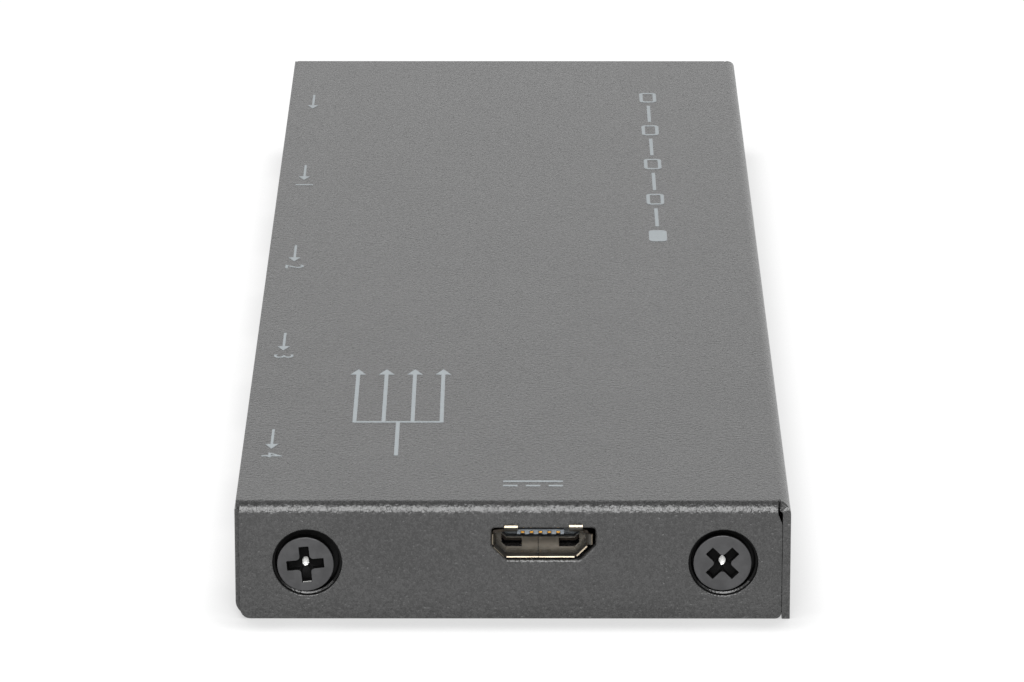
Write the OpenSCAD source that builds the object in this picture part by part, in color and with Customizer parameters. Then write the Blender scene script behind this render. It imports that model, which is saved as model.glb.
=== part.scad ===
// Slim video splitter, one input to four outputs, in a folded sheet-metal case.
// Millimetres. Z is up, Y runs from the power end to the far end, X from the port wall to the closed side.
// The origin is in the middle of the underside.

/* [Case] */
// Width of the case, from the port wall to the closed side
case_w = 40.6; // [38:0.1:60]
// Length of the case, from the power end to the far end
case_l = 126; // [116:0.5:180]
// Height of the case
case_h = 8.9; // [8.5:0.1:14]
// Thickness of the sheet metal
sheet_t = 0.6; // [0.5:0.05:0.75]
// Outer radius of the cover's bends
cover_bend_r = 0.85; // [0.8:0.05:1.2]
// Outer radius of the bend under the port wall
chassis_bend_r = 1.1; // [0.9:0.05:1.3]
// Gap between the sheets of the cover and the chassis
seam_gap = 0.05; // [0.05:0.05:0.2]
// How far the cover's open edge stands in from the port wall's face
open_edge_inset = 0.1; // [0:0.05:0.3]
// How far the end flanges stand in from the port wall's face
flange_inset = 0.36; // [0.2:0.02:0.5]
// Distance of the end flange's bend from the inside of the closed side
relief_w = 0.33; // [0.26:0.01:0.5]
// How far the bend relief cuts into the bend of the closed side
relief_bite = 0.1; // [0.02:0.02:0.2]
// Depth of the bend relief behind the end face
relief_l = 0.5; // [0.3:0.05:0.7]
// Height of the slanted end of the bend relief, from the top of the case
relief_h = 1.35; // [1.25:0.05:2]
// Corner radius of an end flange at the foot of the closed side
flange_foot_r = 0.4; // [0.1:0.05:0.6]
// How far a bend, a pocket or a lip reaches into the sheet that it grows from
sheet_root = 0.1; // [0.05:0.05:0.2]

/* [Case screws] */
// Distance of the port-side screws from the port wall's face
screw_port_inset = 5.3; // [5:0.1:6]
// Distance of the closed-side screws from the closed side's face
screw_side_inset = 4.9; // [4.8:0.1:7]
// How far the screws lie below the middle of the case's height
screw_drop = 0.12; // [0:0.02:0.3]
// Diameter of a screw pocket at the face of a flange
pocket_d = 5.1; // [4.8:0.1:5.4]
// Depth of a screw pocket
pocket_depth = 1.05; // [0.95:0.05:1.2]
// How much a screw pocket narrows down to its floor, on the diameter
pocket_draft = 0.2; // [0.1:0.05:0.3]
// Thickness of the drawn wall round a screw pocket
pocket_wall = 0.45; // [0.35:0.05:0.55]
// Thickness of the floor of a screw pocket
pocket_floor = 0.6; // [0.5:0.05:0.8]
// Diameter of the hole through the floor of a screw pocket
pocket_bore_d = 2.9; // [2.8:0.05:3.2]
// Diameter of a screw head
head_d = 4.15; // [3.9:0.05:4.4]
// How far a screw head sits below the face of its flange
head_recess = 0.25; // [0.1:0.05:0.3]
// Outer diameter of the screw thread
thread_d = 2.5; // [2:0.1:2.6]
// Length of a screw from the top of its head
screw_l = 4.5; // [4:0.1:4.8]
// Gap between a screw and what it sits in
screw_clear = 0.03; // [0.02:0.01:0.06]
// Span of the cross recess in a screw head
recess_span = 2.6; // [2:0.1:3]
// Width of an arm of the cross recess
recess_w = 0.7; // [0.5:0.05:0.9]
// Depth of the arms of the cross recess
recess_depth = 0.6; // [0.4:0.05:0.65]
// Diameter of the cone in the middle of the cross recess
recess_cone_d = 1.15; // [0.9:0.05:1.3]
// Depth of the cone in the middle of the cross recess
recess_cone_l = 1.1; // [0.7:0.05:1.2]
// Turn of the cross recess in the port-side screws, in degrees
recess_turn_port = 5; // [0:1:90]
// Turn of the cross recess in the closed-side screws, in degrees
recess_turn_side = 45; // [0:1:90]
// Width of the chassis tab that a screw pulls against
tab_w = 6.4; // [5.6:0.1:7]
// Height of a tab above the middle of its screw
tab_rise = 2.6; // [2.2:0.1:3]
// Corner radius of a tab
tab_corner_r = 1; // [0.4:0.1:2]
// Outer radius of the bend under a tab
tab_bend_r = 0.9; // [0.8:0.05:1.2]
// Width of the slot on each side of a tab
tab_slot = 0.4; // [0.2:0.05:0.6]
// Outer diameter of the drawn collar behind a tab
collar_d = 4; // [3.6:0.1:4.6]
// Length of the drawn collar behind a tab
collar_l = 1.2; // [0.8:0.1:1.6]

/* [Board] */
// Thickness of the board
board_t = 1.2; // [0.8:0.1:1.6]
// Height of the board's top above the middle of the case
board_rise = 0.25; // [0:0.05:0.4]
// Gap between the board and the port wall
board_port_gap = 0.6; // [0.5:0.05:0.9]
// Gap between the board and the closed side
board_side_gap = 0.8; // [0.4:0.1:2]
// Distance of the board's ends from the end faces of the case
board_end_gap = 1.2; // [0.9:0.1:2]
// Room between the board and the case screws and tabs
board_screw_room = 0.5; // [0.3:0.05:0.5]
// Gap between the board and the sides of a socket in its bay
bay_gap = 0.2; // [0.1:0.05:0.4]
// Gap between the board and the back of a socket in its bay
bay_rear_gap = 0.5; // [0.4:0.05:0.8]

/* [Board posts] */
// Diameter of a post
post_d = 4; // [3.4:0.1:4.4]
// Width across the flats of a post's clinched foot
post_foot_w = 4.8; // [4.5:0.1:5.5]
// Gap round a post's foot in the chassis floor
post_foot_gap = 0.02; // [0.01:0.01:0.05]
// Distance of the port-side posts from the port wall's face
post_port_inset = 6.8; // [6:0.1:9]
// Distance of the closed-side posts from the closed side's face
post_side_inset = 4.2; // [3.6:0.1:6]
// Diameter of the board screws
board_screw_d = 2; // [1.6:0.1:2.5]
// Length of a board screw below its head
board_screw_l = 3; // [2.4:0.1:3.6]
// Diameter of a board screw's head
board_screw_head_d = 3.6; // [3:0.1:4]
// Height of a board screw's head
board_screw_head_h = 1.1; // [0.8:0.1:1.5]
// Span of the cross recess in a board screw's head
board_recess_span = 2; // [1.4:0.1:2.4]
// Width of an arm of the cross recess in a board screw's head
board_recess_w = 0.5; // [0.4:0.05:0.7]
// Depth of the cross recess in a board screw's head
board_recess_depth = 0.7; // [0.4:0.05:0.9]

/* [Video sockets] */
// Distance of the first socket's middle from the power end
socket_first = 13.8; // [13.7:0.1:16]
// Distance of the last socket's middle from the far end
socket_last = 15; // [13.7:0.1:18]
// Outer width of a socket shell
video_w = 14.6; // [14.2:0.1:14.8]
// Outer height of a socket shell
video_h = 5.15; // [4.9:0.05:5.4]
// Corner cut at the foot of a socket shell
video_c = 1.95; // [1.5:0.05:2.2]
// Length of a socket from the port wall's face to its back
video_l = 11.5; // [10.5:0.1:12.5]
// Thickness of a socket shell
shell_t = 0.3; // [0.2:0.05:0.35]
// How far a socket's middle lies below the board's top
socket_drop = 0.15; // [0:0.05:0.3]
// Length of the flared lips at a socket's mouth
lip_reach = 0.7; // [0.4:0.05:1]
// How far a lip flares outwards
lip_flare = 0.35; // [0.1:0.05:0.4]
// Free length at each end of a lip
lip_corner = 0.45; // [0.2:0.05:0.6]
// Gap between the lips and the window in the port wall
window_gap = 0.15; // [0.05:0.05:0.2]
// Length of the feet that carry a socket on the board
leg_l = 1; // [0.8:0.05:1]
// Width of such a foot
leg_w = 1.8; // [1.2:0.1:2.4]
// Distance of the front feet from the port wall's face
leg_front = 3.2; // [2.4:0.1:4]
// Distance of the rear feet from the port wall's face
leg_rear = 8.2; // [7:0.1:8.5]
// Width of the contact tongue
tongue_w = 11; // [10.4:0.1:11.6]
// Thickness of the contact tongue
tongue_t = 1.15; // [0.9:0.05:1.4]
// Distance of the tongue's tip from the port wall's face
tongue_tip = 2.1; // [1.8:0.1:3]
// Height of the tongue's middle above the socket's middle
tongue_rise = 0.1; // [0:0.05:0.3]
// Distance of the insulator's block from the port wall's face
block_front = 7.6; // [7:0.1:9]
// Gap between an insulator and its shell
fit_gap = 0.03; // [0.01:0.01:0.05]
// Distance between contacts of one row
contact_pitch = 1; // [0.9:0.05:1]
// Contacts in the upper row
upper_contacts = 10; // [6:1:10]
// Width of a contact
contact_w = 0.4; // [0.3:0.02:0.42]
// Thickness of a contact
contact_t = 0.15; // [0.1:0.01:0.2]
// Distance of the contacts from the tongue's tip
contact_setback = 0.4; // [0.2:0.1:1]
// Length of the contact tails behind a socket
tail_l = 1.4; // [1:0.1:1.8]
// Gap between a socket's back and its contact tails
tail_gap = 0.12; // [0.05:0.01:0.18]

/* [Power socket] */
// Distance of the power socket from the middle of the case
power_x = 2.04; // [-2:0.02:4]
// Outer width of the power socket's shell
power_w = 7; // [6.8:0.1:7.6]
// Outer height of the power socket's shell
power_h = 2.05; // [1.9:0.05:2.4]
// Corner cut at the foot of the power socket's shell
power_c = 0.9; // [0.7:0.05:1.1]
// How far the shell stands off the board
power_lift = 0.12; // [0.05:0.01:0.2]
// Length of the power socket behind the end face
power_l = 5.2; // [5:0.1:6]
// Thickness of the power socket's shell
power_t = 0.2; // [0.15:0.01:0.25]
// How far the top of the shell is cut back between its upper lips
power_notch = 1.2; // [0.4:0.1:1.4]
// Distance of the latch windows in the shell's floor from the end face
latch_front = 1.7; // [1.5:0.1:2.4]
// Length of a latch window
latch_l = 1.9; // [1.4:0.1:2.2]
// Distance of a latch window's inner edge from the middle of the shell
latch_inner = 1.36; // [1:0.02:1.8]
// Width of a latch window
latch_w = 1.65; // [0.8:0.05:1.7]
// How far the lips stand out of the end face
power_lip_reach = 0.35; // [0.2:0.05:0.5]
// How far the upper lips flare
power_lip_flare = 0.5; // [0.2:0.05:0.6]
// How far the lips on the closed side flare
power_side_flare = 0.3; // [0:0.02:0.4]
// How far the lower lip and the lips on the port side flare
power_port_flare = 0.04; // [0:0.02:0.1]
// Width of an upper lip
power_lip_w = 1.05; // [0.8:0.05:1.3]
// Distance between the middles of the upper lips
power_lip_spread = 4.76; // [4:0.02:5]
// How far the upper lips stand towards the closed side
power_lip_shift = 0.2; // [0:0.02:0.3]
// Free length at each end of the other lips
power_lip_corner = 0.14; // [0.1:0.01:0.2]
// Gap between the shell and its window on the port side
power_gap_port = 0.05; // [0.04:0.01:0.5]
// Gap between the shell and its window on the closed side
power_gap_side = 0.5; // [0.05:0.05:0.6]
// Gap between the shell and the lower edge of its window
power_gap_low = 0.25; // [0.05:0.05:0.3]
// Gap between the shell and the upper edge of its window
power_gap_high = 0.1; // [0.05:0.01:0.2]
// Corner cut at the foot of the window
power_window_c = 1.1; // [0.9:0.05:1.2]
// Width of the power socket's tongue
power_tongue_w = 3.44; // [3.2:0.02:3.8]
// Thickness of the power socket's tongue
power_tongue_t = 0.36; // [0.3:0.02:0.5]
// Distance of the tongue's tip from the end face
power_tongue_tip = 0.8; // [0.3:0.1:1.2]
// Gap between the tongue and the top of the shell
power_tongue_gap = 0.04; // [0.02:0.01:0.2]
// Distance of the insulator's block from the end face
power_block_front = 4.4; // [4.2:0.1:4.6]
// Distance between the power socket's contacts
power_pitch = 0.65; // [0.6:0.01:0.7]
// Contacts in the power socket
power_contacts = 5; // [3:1:5]
// Width of a power contact
power_contact_w = 0.26; // [0.24:0.01:0.42]
// Thickness of a power contact
power_contact_t = 0.15; // [0.1:0.01:0.2]
// How far the contacts lie inside the tongue's lower face
power_contact_sunk = 0.08; // [0.02:0.01:0.1]
// Length of the power contact tails behind the socket
power_tail_l = 1.1; // [0.8:0.1:1.6]

/* [Lights] */
// Diameter of a light guide in the port wall
guide_d = 1.6; // [1.2:0.1:1.8]
// Length of a light guide
guide_l = 2.2; // [1.8:0.1:2.6]
// Diameter of a light guide's collar behind the wall
guide_collar_d = 2.4; // [2.2:0.1:2.8]
// Thickness of a light guide's collar
guide_collar_t = 0.4; // [0.3:0.05:0.45]
// Gap round a light guide in the port wall
guide_gap = 0.03; // [0.01:0.01:0.06]
// Gap between a light guide and the board
guide_rise = 0.15; // [0.1:0.05:0.3]
// Length, width and height of a status light
light_size = [1, 1.6, 1.5];
// Gap between a light guide and its status light
light_gap = 0.05; // [0.02:0.01:0.2]

/* [Splitter chip] */
// Side of the splitter chip
splitter_s = 12; // [10:0.5:13]
// Height of the splitter chip
splitter_h = 1.1; // [0.8:0.1:1.4]
// Distance of the splitter chip's middle from the contact tails
splitter_away = 15.6; // [15:0.1:17]
// Thickness of the thermal pad
pad_t = 0.5; // [0.3:0.1:0.8]
// Side of the heat spreader
spreader_s = 14; // [12:0.5:15]
// Depth of the slots across the heat spreader
spreader_slot = 1; // [0.5:0.1:1.4]
// Width of a slot across the heat spreader
spreader_slot_w = 1.3; // [0.8:0.1:1.6]
// Distance between the slots of the heat spreader
spreader_pitch = 2.6; // [2.2:0.1:2.8]

/* [Chips] */
// Side of an output driver
driver_s = 5; // [4:0.5:5]
// Height of an output driver
driver_h = 0.85; // [0.7:0.05:1]
// Distance of the drivers' middles from the contact tails
driver_away = 4.8; // [4.6:0.1:5.2]
// Side of the control chip
control_s = 7; // [6:0.5:7]
// Height of the control chip
control_h = 1.1; // [0.9:0.1:1.4]
// Distance between the control chip's leads
control_pitch = 0.5; // [0.4:0.05:0.5]
// Leads on each side of the control chip
control_leads = 12; // [8:1:12]
// Distance of the control chip's middle from the far end
control_end = 26; // [22:0.5:28]
// Width of the memory chip, between its rows of leads
memory_w = 4; // [3.6:0.1:4.4]
// Length of the memory chip, along its rows of leads
memory_l = 5; // [4.8:0.1:5.4]
// Height of the memory chip
memory_h = 1.5; // [1.2:0.1:1.8]
// Distance between the memory chip's leads
memory_pitch = 1.27; // [1:0.01:1.27]
// Distance of the memory chip's middle from the control chip's middle
memory_away = 8.5; // [8:0.1:10]
// How far a chip's body stands off the board
chip_lift = 0.1; // [0.05:0.05:0.2]
// Width of a lead as a share of the distance between leads
lead_share = 0.45; // [0.3:0.05:0.6]
// Thickness of a chip's leads
lead_t = 0.15; // [0.1:0.01:0.2]
// Reach of a chip's leads from its side
lead_out = 0.9; // [0.7:0.1:1.2]
// Distance of a lead's knee from the chip's side
lead_knee = 0.36; // [0.2:0.02:0.5]

/* [Power parts] */
// Distance of the power parts' columns from the closed edge of the board
power_column_insets = [12.1, 6.6];
// Distance of the first row of power parts from the power end
fuse_end = 9; // [8:0.5:10]
// Distance between rows of power parts
power_row = 5.6; // [5.2:0.1:6]
// Length, width and height of the input fuse
fuse_size = [3.2, 1.6, 0.8];
// Length, width and height of a power inductor
inductor_size = [4, 4, 2];
// Width, length and height of a regulator chip
regulator_size = [1.7, 3, 1.1];
// Distance between a regulator's leads
regulator_pitch = 0.95; // [0.8:0.05:1]
// Length, width and height of a bulk capacitor
bulk_size = [3.5, 2.8, 1.9];
// Distance between the bulk capacitors
bulk_pitch = 5.5; // [4.5:0.1:6]

/* [Small parts] */
// Length, width and height of the clock crystal
crystal_size = [3.2, 2.5, 0.8];
// Distance of the crystal's middle from the splitter chip's edge
crystal_away = 4.5; // [4:0.1:6]
// Length, width and height of a small capacitor
capacitor_size = [1, 0.5, 0.5];
// Distance between small capacitors
capacitor_pitch = 1.6; // [1:0.1:2]
// Distance of the capacitors from the driver's edge
capacitor_away = 1.1; // [0.9:0.1:1.5]
// Length, width and height of a small resistor
resistor_size = [1, 0.5, 0.35];
// Distance between small resistors
resistor_pitch = 2; // [1.5:0.1:2.4]
// Distance of the resistors from the splitter chip's edge
resistor_away = 2; // [1.4:0.1:2.4]
// Width, length and height of a surge array
surge_size = [1, 2.5, 0.55];
// Distance between the two surge arrays of a socket
surge_pitch = 4.4; // [3.6:0.1:6]
// Distance of the surge arrays' middles from the contact tails
surge_away = 1.2; // [1:0.1:1.4]

/* [Hidden] */
$fn = 64;

// Overshoot of cutting bodies
over = 0.5;

// Faces of the case
x_port = -case_w / 2;
x_side = case_w / 2;
y_front = -case_l / 2;
y_rear = case_l / 2;

// Limits of the folded sheets
x_open = x_port + open_edge_inset;
x_flange = x_port + flange_inset;
x_flange_end = x_side - sheet_t - seam_gap;
x_relief = x_side - sheet_t - relief_w;
y_sheet = y_front + sheet_t + seam_gap;
z_under = case_h - sheet_t;

// Case screws, their pockets and tabs
screw_z = case_h / 2 - screw_drop;
screw_spots = [[x_port + screw_port_inset, recess_turn_port], [x_side - screw_side_inset, recess_turn_side]];
pocket_l = pocket_depth + pocket_floor;
head_h = pocket_depth - head_recess - screw_clear;

// Levels and edges of the board
board_top = case_h / 2 + board_rise;
board_low = board_top - board_t;
board_x0 = x_port + sheet_t + board_port_gap;
board_x1 = x_side - sheet_t - board_side_gap;
board_y0 = y_front + board_end_gap;
board_notch = head_recess + screw_l + board_screw_room;

// Video sockets in order from the power end
socket_names = ["output_4", "output_3", "output_2", "output_1", "input"];
socket_count = len(socket_names);
socket_pitch = (case_l - socket_first - socket_last) / (socket_count - 1);
socket_z = board_top - socket_drop;
tail_x = x_port + video_l + tail_l;
tongue_top = tongue_rise + tongue_t / 2;
tongue_low = tongue_rise - tongue_t / 2;

// Power socket
power_z = board_top + power_lift + power_h / 2;
power_tongue_top = power_h / 2 - power_t - power_tongue_gap;
power_tongue_low = power_tongue_top - power_tongue_t;
power_contact_low = power_tongue_low + power_contact_sunk;

// Posts stand between the first two and the last two sockets
post_spots = [
    for (x = [x_port + post_port_inset, x_side - post_side_inset])
        for (i = [0, socket_count - 2])
            [x, gap_y(i)]
];
guide_z = board_top + guide_rise + guide_d / 2;

// Columns of power parts, and the middle of the splitter chip
power_columns = [for (i = power_column_insets) board_x1 - i];
splitter_x = tail_x + splitter_away;

function socket_y(i) = y_front + socket_first + i * socket_pitch;
function gap_y(i) = socket_y(i) + socket_pitch / 2;
function power_row_y(n) = y_front + fuse_end + n * power_row;
// Diameter of a screw pocket at a depth below the face of its flange
function pocket_at(depth) = pocket_d - pocket_draft * depth / pocket_depth;
// Corner cut of a sheet outline that is grown by g all round
function grown_cut(c, g) = c + g * (2 - sqrt(2));

// Shapes that several pieces share

// Both ends of the case from one
module both_ends() {
    children();
    mirror([0, 1, 0]) children();
}

// Quarter ring of bent sheet, in the corner away from both axes, with a short flat at each end
module bend_ring(r) {
    difference() {
        intersection() {
            circle(r = r);
            square(r);
        }
        circle(r = r - sheet_t);
    }
    translate([r - sheet_t, -sheet_root]) square([sheet_t, sheet_root]);
    translate([-sheet_root, r - sheet_t]) square([sheet_root, sheet_t]);
}

// What is left outside a rounded corner of radius r at the origin
module corner_waste(r) {
    difference() {
        translate([-over, -over]) square(r + over);
        translate([r, r]) circle(r = r);
    }
}

// Socket outline: square above, corners cut below, grown by g all round
module socket_outline(w, h, c, g = 0) {
    x = w / 2 + g;
    y = h / 2 + g;
    k = grown_cut(c, g);
    polygon([[-x, y], [x, y], [x, k - y], [x - k, -y], [k - x, -y], [-x, k - y]]);
}

// Wall of a socket shell as an outline
module socket_wall(w, h, c, t) {
    difference() {
        socket_outline(w, h, c);
        socket_outline(w, h, c, -t);
    }
}

// Flared lip of length len along X, rooted at depth reach, its outer face at Y 0
module lip(len, reach, flare, t) {
    root = reach + sheet_root;
    translate([len / 2, 0, 0])
        rotate([0, -90, 0])
            linear_extrude(len)
                polygon([[root, 0], [root, -t], [reach, -t], [0, flare - t], [0, flare], [reach, 0]]);
}

// Bent contact strip of width w: lies at height y from depth a0, turns at depth a1, ends on height foot at a2
module contact(w, t, a0, a1, a2, y, foot) {
    turn = y > foot ? [[a1 + t, y + t], [a1 + t, foot + t]] : [[a1, y + t], [a1, foot + t]];
    back = y > foot ? [[a1, foot], [a1, y]] : [[a1 + t, foot], [a1 + t, y]];
    translate([w / 2, 0, 0])
        rotate([0, -90, 0])
            linear_extrude(w)
                polygon(concat([[a0, y], [a0, y + t]], turn, [[a2, foot + t], [a2, foot]], back));
}

// Cross recess sunk from Z 0 to depth
module cross_recess(span, w, depth) {
    for (a = [0, 90])
        rotate([0, 0, a])
            translate([-span / 2, -w / 2, -over])
                cube([span, w, depth + over]);
}

// Frame of a video socket: X along the wall, Y up, Z into the case from the port wall's face
module at_video(i) {
    translate([x_port, socket_y(i), socket_z])
        rotate([90, 0, 90])
            children();
}

// Frame of the power socket: X across, Y up, Z into the case from the end face
module at_power() {
    translate([power_x, y_front, power_z])
        rotate([90, 0, 180])
            children();
}

// Frame of a case screw at the power end: Z into the case from the end face
module at_screw(x) {
    translate([x, y_front, screw_z])
        rotate([-90, 0, 0])
            children();
}

// Part on the board, its middle at x, y
module on_board(x, y) {
    translate([x, y, board_top])
        children();
}

// Plain part body of length, width and height, its footprint centred
module block(size) {
    translate([-size[0] / 2, -size[1] / 2, 0])
        cube(size);
}

// Chip body with bent leads on its sides, given as turns in degrees
module leaded_chip(size, leads, pitch, sides) {
    lead_w = pitch * lead_share;
    translate([0, 0, chip_lift]) block([size[0], size[1], size[2] - chip_lift]);
    for (a = sides)
        rotate([0, 0, a])
            for (n = [0 : leads - 1])
                translate([0, (n - (leads - 1) / 2) * pitch + lead_w / 2, 0])
                    rotate([90, 0, 0])
                        linear_extrude(lead_w)
                            lead_profile(size[a % 180 == 0 ? 0 : 1] / 2, size[2] / 2);
}

// Bent lead from a chip's side at x and height y down to the board
module lead_profile(x, y) {
    knee = x + lead_knee;
    polygon([
        [x - lead_t, y], [x - lead_t, y + lead_t], [knee + lead_t, y + lead_t], [knee + lead_t, lead_t],
        [x + lead_out, lead_t], [x + lead_out, 0], [knee, 0], [knee, y]
    ]);
}

// Case

module top_cover() {
    color("dimgray")
        difference() {
            union() {
                cover_top();
                cover_side();
                both_ends() cover_end();
            }
            both_ends() cover_relief();
            both_ends() for (s = screw_spots) screw_seat(s[0]);
            power_window();
        }
}

module cover_top() {
    w = x_side - cover_bend_r - x_open;
    l = case_l - 2 * cover_bend_r;
    translate([x_open, -l / 2, z_under])
        cube([w, l, sheet_t]);
}

// Closed side with its bend, along the whole length
module cover_side() {
    translate([0, y_rear, 0])
        rotate([90, 0, 0])
            linear_extrude(case_l) {
                translate([x_side - sheet_t, 0]) square([sheet_t, case_h - cover_bend_r]);
                translate([x_side - cover_bend_r, case_h - cover_bend_r]) bend_ring(cover_bend_r);
            }
}

// End flange at the power end, with its bend and the backs of its screw pockets
module cover_end() {
    root = sheet_t - sheet_root;
    translate([0, y_front + sheet_t, 0])
        rotate([90, 0, 0])
            linear_extrude(sheet_t)
                flange_outline();
    translate([x_flange, y_front + cover_bend_r, case_h - cover_bend_r])
        rotate([90, 0, 90])
            linear_extrude(x_relief - x_flange)
                mirror([1, 0])
                    bend_ring(cover_bend_r);
    for (s = screw_spots)
        at_screw(s[0])
            translate([0, 0, root])
                cylinder(
                    h = pocket_l - root,
                    d1 = pocket_at(root) + 2 * pocket_wall,
                    d2 = pocket_at(pocket_l) + 2 * pocket_wall
                );
}

module flange_outline() {
    top = case_h - cover_bend_r;
    difference() {
        translate([x_flange, 0]) square([x_flange_end - x_flange, top]);
        translate([x_flange, 0]) corner_waste(chassis_bend_r - flange_inset);
        translate([x_flange_end, 0]) mirror([1, 0]) corner_waste(flange_foot_r);
        polygon([
            [x_relief, top + over], [x_relief, top],
            [x_flange_end, case_h - relief_h], [x_flange_end + over, top + over]
        ]);
    }
}

// Slot that frees the bend of the end flange from the bend of the closed side
module cover_relief() {
    w = x_side - cover_bend_r + relief_bite - x_relief;
    translate([x_relief, y_front - over, case_h - cover_bend_r])
        cube([w, relief_l + over, cover_bend_r + over]);
}

// Drawn pocket and hole of a case screw
module screw_seat(x) {
    at_screw(x) {
        translate([0, 0, -over])
            cylinder(h = pocket_depth + over, d1 = pocket_at(-over), d2 = pocket_at(pocket_depth));
        cylinder(h = pocket_l + over, d = pocket_bore_d);
    }
}

// Window for the power socket, wider than its shell towards the closed side
module power_window() {
    w = power_w + power_gap_port + power_gap_side;
    h = power_h + power_gap_low + power_gap_high;
    at_power()
        translate([(power_gap_port - power_gap_side) / 2, (power_gap_high - power_gap_low) / 2, -over])
            linear_extrude(sheet_t + 2 * over)
                socket_outline(w, h, power_window_c);
}

module bottom_chassis() {
    color("gray") {
        difference() {
            chassis_floor();
            for (p = post_spots)
                translate([p[0], p[1], -over])
                    post_foot(post_foot_w + 2 * post_foot_gap, sheet_t + 2 * over);
        }
        port_wall();
        both_ends()
            for (s = screw_spots)
                screw_tab(s[0]);
    }
}

module chassis_floor() {
    w = x_side - sheet_t - seam_gap - x_port - chassis_bend_r;
    linear_extrude(sheet_t)
        difference() {
            translate([x_port + chassis_bend_r, y_sheet]) square([w, -2 * y_sheet]);
            both_ends()
                for (s = screw_spots)
                    translate([s[0] - tab_w / 2 - tab_slot, y_front])
                        square([tab_w + 2 * tab_slot, pocket_l + tab_bend_r]);
        }
}

// Port wall with its bend, its socket windows and its light holes
module port_wall() {
    h = z_under - seam_gap - chassis_bend_r;
    translate([x_port, 0, 0])
        rotate([90, 0, 90])
            linear_extrude(sheet_t)
                difference() {
                    translate([y_sheet, chassis_bend_r]) square([-2 * y_sheet, h]);
                    for (i = [0 : socket_count - 1])
                        translate([socket_y(i), socket_z])
                            socket_outline(video_w, video_h, video_c, lip_flare + window_gap);
                    for (i = [0 : socket_count - 2])
                        translate([gap_y(i), guide_z]) circle(d = guide_d + 2 * guide_gap);
                }
    translate([x_port + chassis_bend_r, -y_sheet, chassis_bend_r])
        rotate([90, 0, 0])
            linear_extrude(-2 * y_sheet)
                rotate(180)
                    bend_ring(chassis_bend_r);
}

// Tab at the power end, bent up from the floor and drawn into a threaded collar
module screw_tab(x) {
    face = y_front + pocket_l;
    difference() {
        union() {
            translate([x, face + sheet_t, 0])
                rotate([90, 0, 0])
                    linear_extrude(sheet_t)
                        tab_outline();
            translate([x - tab_w / 2, face + tab_bend_r, tab_bend_r])
                rotate([90, 0, 90])
                    linear_extrude(tab_w)
                        rotate(180)
                            bend_ring(tab_bend_r);
            at_screw(x)
                translate([0, 0, pocket_l])
                    cylinder(h = sheet_t + collar_l, d = collar_d);
        }
        at_screw(x)
            translate([0, 0, pocket_l - over])
                cylinder(h = sheet_t + collar_l + 2 * over, d = thread_d + 2 * screw_clear);
    }
}

module tab_outline() {
    h = screw_z + tab_rise - tab_bend_r;
    translate([0, tab_bend_r])
        difference() {
            translate([-tab_w / 2, 0]) square([tab_w, h]);
            for (m = [0, 1])
                mirror([m, 0])
                    translate([-tab_w / 2, h])
                        mirror([0, 1])
                            corner_waste(tab_corner_r);
        }
}

// Flat-headed screws of the case, two at each end
module case_screws() {
    color("darkslategray")
        both_ends()
            for (s = screw_spots)
                at_screw(s[0])
                    translate([0, 0, head_recess])
                        case_screw(s[1]);
}

module case_screw(turn) {
    difference() {
        union() {
            cylinder(h = head_h, d = head_d);
            cylinder(h = screw_l, d = thread_d);
        }
        rotate([0, 0, turn]) cross_recess(recess_span, recess_w, recess_depth);
        translate([0, 0, -over])
            cylinder(h = recess_cone_l + over, d1 = recess_cone_d, d2 = recess_cone_d / 4);
    }
}

// Board and what carries it

// Hexagonal foot of width w across its flats
module post_foot(w, h) {
    cylinder(h = h, d = w / cos(30), $fn = 6);
}

// Round posts with a foot clinched into the floor and a blind thread for the board screw
module board_posts() {
    depth = board_screw_l - board_t + board_screw_d / 2;
    color("silver")
        for (p = post_spots)
            translate([p[0], p[1], 0])
                difference() {
                    union() {
                        post_foot(post_foot_w, sheet_t);
                        cylinder(h = board_low, d = post_d);
                    }
                    translate([0, 0, board_low - min(depth, board_low - sheet_t)])
                        cylinder(h = depth + over, d = board_screw_d + 2 * screw_clear);
                }
}

module board_screws() {
    color("lightgray")
        for (p = post_spots)
            translate([p[0], p[1], board_top])
                difference() {
                    union() {
                        translate([0, 0, -board_screw_l]) cylinder(h = board_screw_l, d = board_screw_d);
                        cylinder(h = board_screw_head_h, d = board_screw_head_d);
                    }
                    translate([0, 0, board_screw_head_h])
                        mirror([0, 0, 1])
                            cross_recess(board_recess_span, board_recess_w, board_recess_depth);
                }
}

module main_board() {
    color("black")
        translate([0, 0, board_low])
            linear_extrude(board_t)
                difference() {
                    translate([board_x0, board_y0]) square([board_x1 - board_x0, -2 * board_y0]);
                    both_ends() board_corners();
                    for (i = [0 : socket_count - 1]) socket_bay(i);
                    for (p = post_spots) translate(p) circle(d = board_screw_d + 2 * screw_clear);
                }
}

// Corners cut away for the case screws and their tabs at the power end
module board_corners() {
    inner = tab_w / 2 + board_screw_room;
    port = x_port + screw_port_inset + inner;
    side = x_side - screw_side_inset - inner;
    translate([x_port, y_front]) square([port - x_port, board_notch]);
    translate([side, y_front]) square([x_side - side, board_notch]);
}

// Open bay that a video socket sinks into
module socket_bay(i) {
    w = video_w + 2 * bay_gap;
    translate([x_port, socket_y(i) - w / 2])
        square([video_l + bay_rear_gap, w]);
}

// Video sockets

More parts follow.
